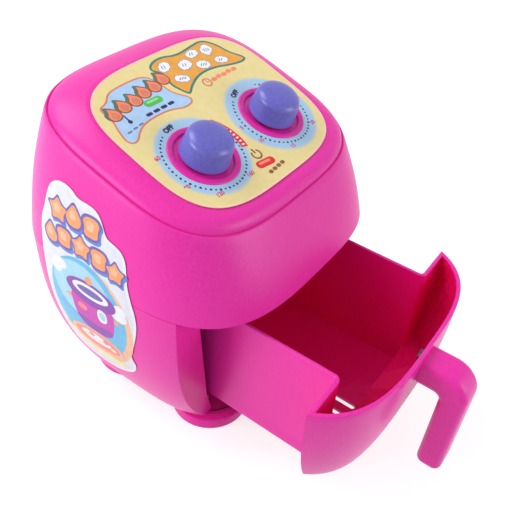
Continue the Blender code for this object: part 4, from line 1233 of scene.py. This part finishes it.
def drawer_plan(z, inset):
    """Plan of the drawer with its curved front, clockwise from the back."""
    wall = min(inset, DRAWER_WALL)
    flange_y = PANEL_FLANGE_Y - inset
    radius = PANEL_INNER_ROUND - PANEL_WALL + inset
    right = rear_corner(wall)
    for angle in angles(math.pi, QUARTER_TURN, CORNER_STEPS):
        x = DRAWER_HALF_WIDTH - wall + radius + radius * math.cos(angle)
        y = flange_y + radius + radius * math.sin(angle)
        right.append((x, y))
    front = front_arc(z, flange_y, inset, PANEL_SHARE, FRONT_POINTS)
    return right + list(reversed(front)) + [(-x, y) for x, y in reversed(right)]


def basket_plan(inset):
    """Plan of the basket alone, with as many points as the whole drawer."""
    right = rear_corner(inset)
    for angle in angles(0.0, QUARTER_TURN, CORNER_STEPS):
        x = DRAWER_HALF_WIDTH - inset - DRAWER_STEP_ROUND * (1.0 - math.cos(angle))
        y = DRAWER_STEP_Y + inset + DRAWER_STEP_ROUND * (1.0 - math.sin(angle))
        right.append((x, y))
    reach = right[-1][0] - FRONT_GAP
    front = []
    for i in range(FRONT_POINTS):
        front.append((reach * (1.0 - 2.0 * i / (FRONT_POINTS - 1.0)), DRAWER_STEP_Y + inset))
    return right + front + [(-x, y) for x, y in reversed(right)]


pink_drawer = moulded("pink_drawer_plastic", PINK, PINK_PALE, rough=0.34)
# The inside faces get painted shade, a deeper red copy of the drawer's plastic.
drawer_painted_shade_inside = moulded("pink_drawer_inside_painted_shade", PAINTED_SHADE_DEEP_RED, PAINTED_SHADE_INSIDE_RED, rough=0.42, gloss=0.12)
# The bay gets a darker painted shade than the rest of the inside.
drawer_painted_shade_bay = moulded("pink_drawer_bay_painted_shade", PAINTED_SHADE_BAY_RED, PAINTED_SHADE_DEEP_RED, rough=0.45, gloss=0.08)
bay_z = PANEL_BOTTOM_Z + PANEL_WALL
floor_z = DRAWER_BOTTOM_Z + DRAWER_WALL
shoulder_z = DRAWER_TOP_Z - RIM_ROUND
drawer = bmesh.new()
drawer_loops = []
for z in (*BASKET_FRONT_LEVELS, PANEL_BOTTOM_Z):
    drawer_loops.append([(x, y, z) for x, y in basket_plan(0.0)])
for i in range(DRAWER_ROWS + 1):
    z = PANEL_BOTTOM_Z + (shoulder_z - PANEL_BOTTOM_Z) * i / DRAWER_ROWS
    drawer_loops.append([(x, y, z) for x, y in drawer_plan(z, 0.0)])
for angle in angles(0.0, math.pi, RIM_STEPS)[1:]:
    rim_z = shoulder_z + RIM_ROUND * math.sin(angle)
    rim_inset = PANEL_WALL / 2.0 * (1.0 - math.cos(angle))
    drawer_loops.append([(x, y, rim_z) for x, y in drawer_plan(DRAWER_TOP_Z, rim_inset)])
inside_loop = len(drawer_loops) - 1
for i in range(1, DRAWER_ROWS + 1):
    z = shoulder_z + (bay_z - shoulder_z) * i / DRAWER_ROWS
    drawer_loops.append([(x, y, z) for x, y in drawer_plan(z, PANEL_WALL)])
for z in (bay_z, *BASKET_INNER_LEVELS, floor_z):
    drawer_loops.append([(x, y, z) for x, y in basket_plan(DRAWER_WALL)])
rows = skin(drawer, drawer_loops, capped=False)
drawer.faces.ensure_lookup_table()
step_middle_y = DRAWER_STEP_Y + DRAWER_WALL / 2.0
# Faces inside the drawer take the painted shade, and those in the bay behind the front take a darker
# painted shade.
for face in drawer.faces[inside_loop * len(rows[0]):]:
    in_bay = face.calc_center_median().y < step_middle_y
    face.material_index = BAY_PAINTED_SHADE_INDEX if in_bay else INSIDE_PAINTED_SHADE_INDEX
slot_rows = []
for rim, z, index in ((rows[0], DRAWER_BOTTOM_Z, 0), (rows[-1], floor_z, INSIDE_PAINTED_SHADE_INDEX)):
    edges = [drawer.edges.get((vert, rim[(i + 1) % len(rim)])) for i, vert in enumerate(rim)]
    level_rows = []
    for x in SLOT_PLACES:
        row = []
        for end_y, start in ((SLOT_REAR_Y, 0.0), (SLOT_FRONT_Y, math.pi)):
            for angle in angles(start, math.pi, SLOT_END_STEPS):
                slot_x = x + SLOT_WIDTH / 2.0 * math.cos(angle)
                slot_y = end_y + SLOT_WIDTH / 2.0 * math.sin(angle)
                row.append(drawer.verts.new((slot_x, slot_y, z)))
        edges += closed_edges(drawer, row)
        level_rows.append(row)
    fill(drawer, edges, index)
    slot_rows.append(level_rows)
for low_row, high_row in zip(*slot_rows):
    bridge(drawer, low_row, high_row)
dressed(
    "drawer_moulding", drawer, [pink_drawer, drawer_painted_shade_inside, drawer_painted_shade_bay], "drawer",
    ["drawer"], DRAWER_PLACE, DRAWER_EDGE_ROUND,
)


# Handle: a thick rounded arm out of the front that bends down into a grip,
# moulded in the same pink and held by two screws from inside the drawer.
HANDLE_WIDTH = 0.0180
HANDLE_ROUND = 0.0040
ARM_TOP_Z = 0.0922
ARM_UNDER_Z = 0.0765
ARM_ROOT_Y = -0.0784
GRIP_OUTER_Y = -0.1057
GRIP_INNER_Y = -0.0915
GRIP_BOTTOM_Z = 0.0175
BEND_OUTER_ROUND = 0.0150
BEND_INNER_ROUND = 0.0040
GRIP_END_ROUND = 0.0065
SECTION_STEPS = 9
BEND_STEPS = 24
GRIP_END_STEPS = 16
# Each corner of the grip's section is its side, its end and, in half turns,
# the angle at which its round starts
SECTION_CORNERS = ((1.0, 1.0, 0.0), (-1.0, 1.0, 0.5), (-1.0, -1.0, 1.0), (1.0, -1.0, 1.5))


def handle_section(outer, inner, draw_in):
    """A rounded rectangle across the handle between its two edge lines."""
    middle_y = (outer[0] + inner[0]) / 2.0
    middle_z = (outer[1] + inner[1]) / 2.0
    half = math.hypot(outer[0] - inner[0], outer[1] - inner[1]) / 2.0
    toward_y = (outer[0] - middle_y) / half
    toward_z = (outer[1] - middle_z) / half
    width = HANDLE_WIDTH / 2.0 - draw_in
    rounding = max(HANDLE_ROUND - draw_in / 2.0, RIM_ROUND)
    points = []
    for side, end, start in SECTION_CORNERS:
        for i in range(SECTION_STEPS + 1):
            angle = math.pi * (start + 0.5 * i / SECTION_STEPS)
            across = side * (width - rounding) + rounding * math.cos(angle)
            along = end * (half - rounding) + rounding * math.sin(angle)
            points.append((across, middle_y + along * toward_y, middle_z + along * toward_z))
    return points


handle = bmesh.new()
outer_line = [(ARM_ROOT_Y, ARM_TOP_Z)]
inner_line = [(ARM_ROOT_Y, ARM_UNDER_Z)]
for angle in angles(0.0, QUARTER_TURN, BEND_STEPS):
    outer_y = GRIP_OUTER_Y + BEND_OUTER_ROUND * (1.0 - math.sin(angle))
    outer_line.append((outer_y, ARM_TOP_Z - BEND_OUTER_ROUND * (1.0 - math.cos(angle))))
    inner_y = GRIP_INNER_Y + BEND_INNER_ROUND * (1.0 - math.sin(angle))
    inner_line.append((inner_y, ARM_UNDER_Z - BEND_INNER_ROUND * (1.0 - math.cos(angle))))
handle_loops = [handle_section(outer, inner, 0.0) for outer, inner in zip(outer_line, inner_line)]
for angle in angles(0.0, QUARTER_TURN, GRIP_END_STEPS)[:-1]:
    drawn = GRIP_END_ROUND * (1.0 - math.cos(angle))
    z = GRIP_BOTTOM_Z + GRIP_END_ROUND * (1.0 - math.sin(angle))
    handle_loops.append(handle_section((GRIP_OUTER_Y + drawn, z), (GRIP_INNER_Y - drawn, z), drawn))
skin(handle, handle_loops)
dressed("handle_grip", handle, [pink_drawer], "drawer", ["handle"], DRAWER_PLACE)


# Studio: a white paper floor that runs out of sight, lit by soft lamps from
# the left, from the front and from high behind. Seen paper and sky are white,
# while the light that they give the toy stays plain.
SWEEP_HALF = 24.0
LAMPS = (
    ("left_softbox", (-1.00, 0.62, 0.42), 0.7, 7.6),
    ("front_softbox", (0.45, -1.30, 0.45), 0.8, 7.2),
    ("rear_softbox", (-0.25, 0.85, 1.30), 0.9, 10.8),
)
AIM = Vector((0.0, 0.0, 0.09))
WORLD_STRENGTH = 0.50
PAPER_GLOW = 0.68
PAPER_GREY = (0.55, 0.55, 0.55, 1.0)
WHITE = (1.0, 1.0, 1.0, 1.0)
FLOOR_DROP = 0.00002
sweep_mesh = bmesh.new()
sweep_verts = []
for x, y in ((-1.0, -1.0), (1.0, -1.0), (1.0, 1.0), (-1.0, 1.0)):
    sweep_verts.append(sweep_mesh.verts.new((x * SWEEP_HALF, y * SWEEP_HALF, -FLOOR_DROP)))
sweep_mesh.faces.new(sweep_verts)
sweep_data = bpy.data.meshes.new("white_sweep")
sweep_mesh.to_mesh(sweep_data)
sweep_mesh.free()
sweep = bpy.data.objects.new("white_sweep", sweep_data)
bpy.context.scene.collection.objects.link(sweep)
paper = Finish("sweep_paper", Base_Color=PAPER_GREY, Roughness=0.9, Specular_IOR_Level=0.1)
plain = Wire(paper, paper.shader.outputs[0])
glow = paper.node("Emission", {}, {"Color": WHITE, "Strength": PAPER_GLOW})
lit = paper.node("AddShader", {}, {0: plain, 1: glow})
mixed = paper.node("MixShader", {}, {0: paper.seen(), 1: plain, 2: lit})
paper.link(mixed, paper.tree.nodes["Material Output"].inputs["Surface"])
sweep_data.materials.append(paper.material)
for name, where_at, size, power in LAMPS:
    lamp_data = bpy.data.lights.new(name, "AREA")
    lamp_data.shape = "SQUARE"
    lamp_data.size = size
    lamp_data.energy = power
    lamp = bpy.data.objects.new(name, lamp_data)
    bpy.context.scene.collection.objects.link(lamp)
    lamp.location = where_at
    lamp.rotation_euler = (AIM - Vector(where_at)).to_track_quat("-Z", "Y").to_euler()
world = bpy.data.worlds.new("studio")
bpy.context.scene.world = world
world.use_nodes = True
background = world.node_tree.nodes["Background"]
background.inputs["Color"].default_value = WHITE
sky = Nodes(world.node_tree)
sky.link(WORLD_STRENGTH + sky.seen() * (1.0 - WORLD_STRENGTH), background.inputs["Strength"])
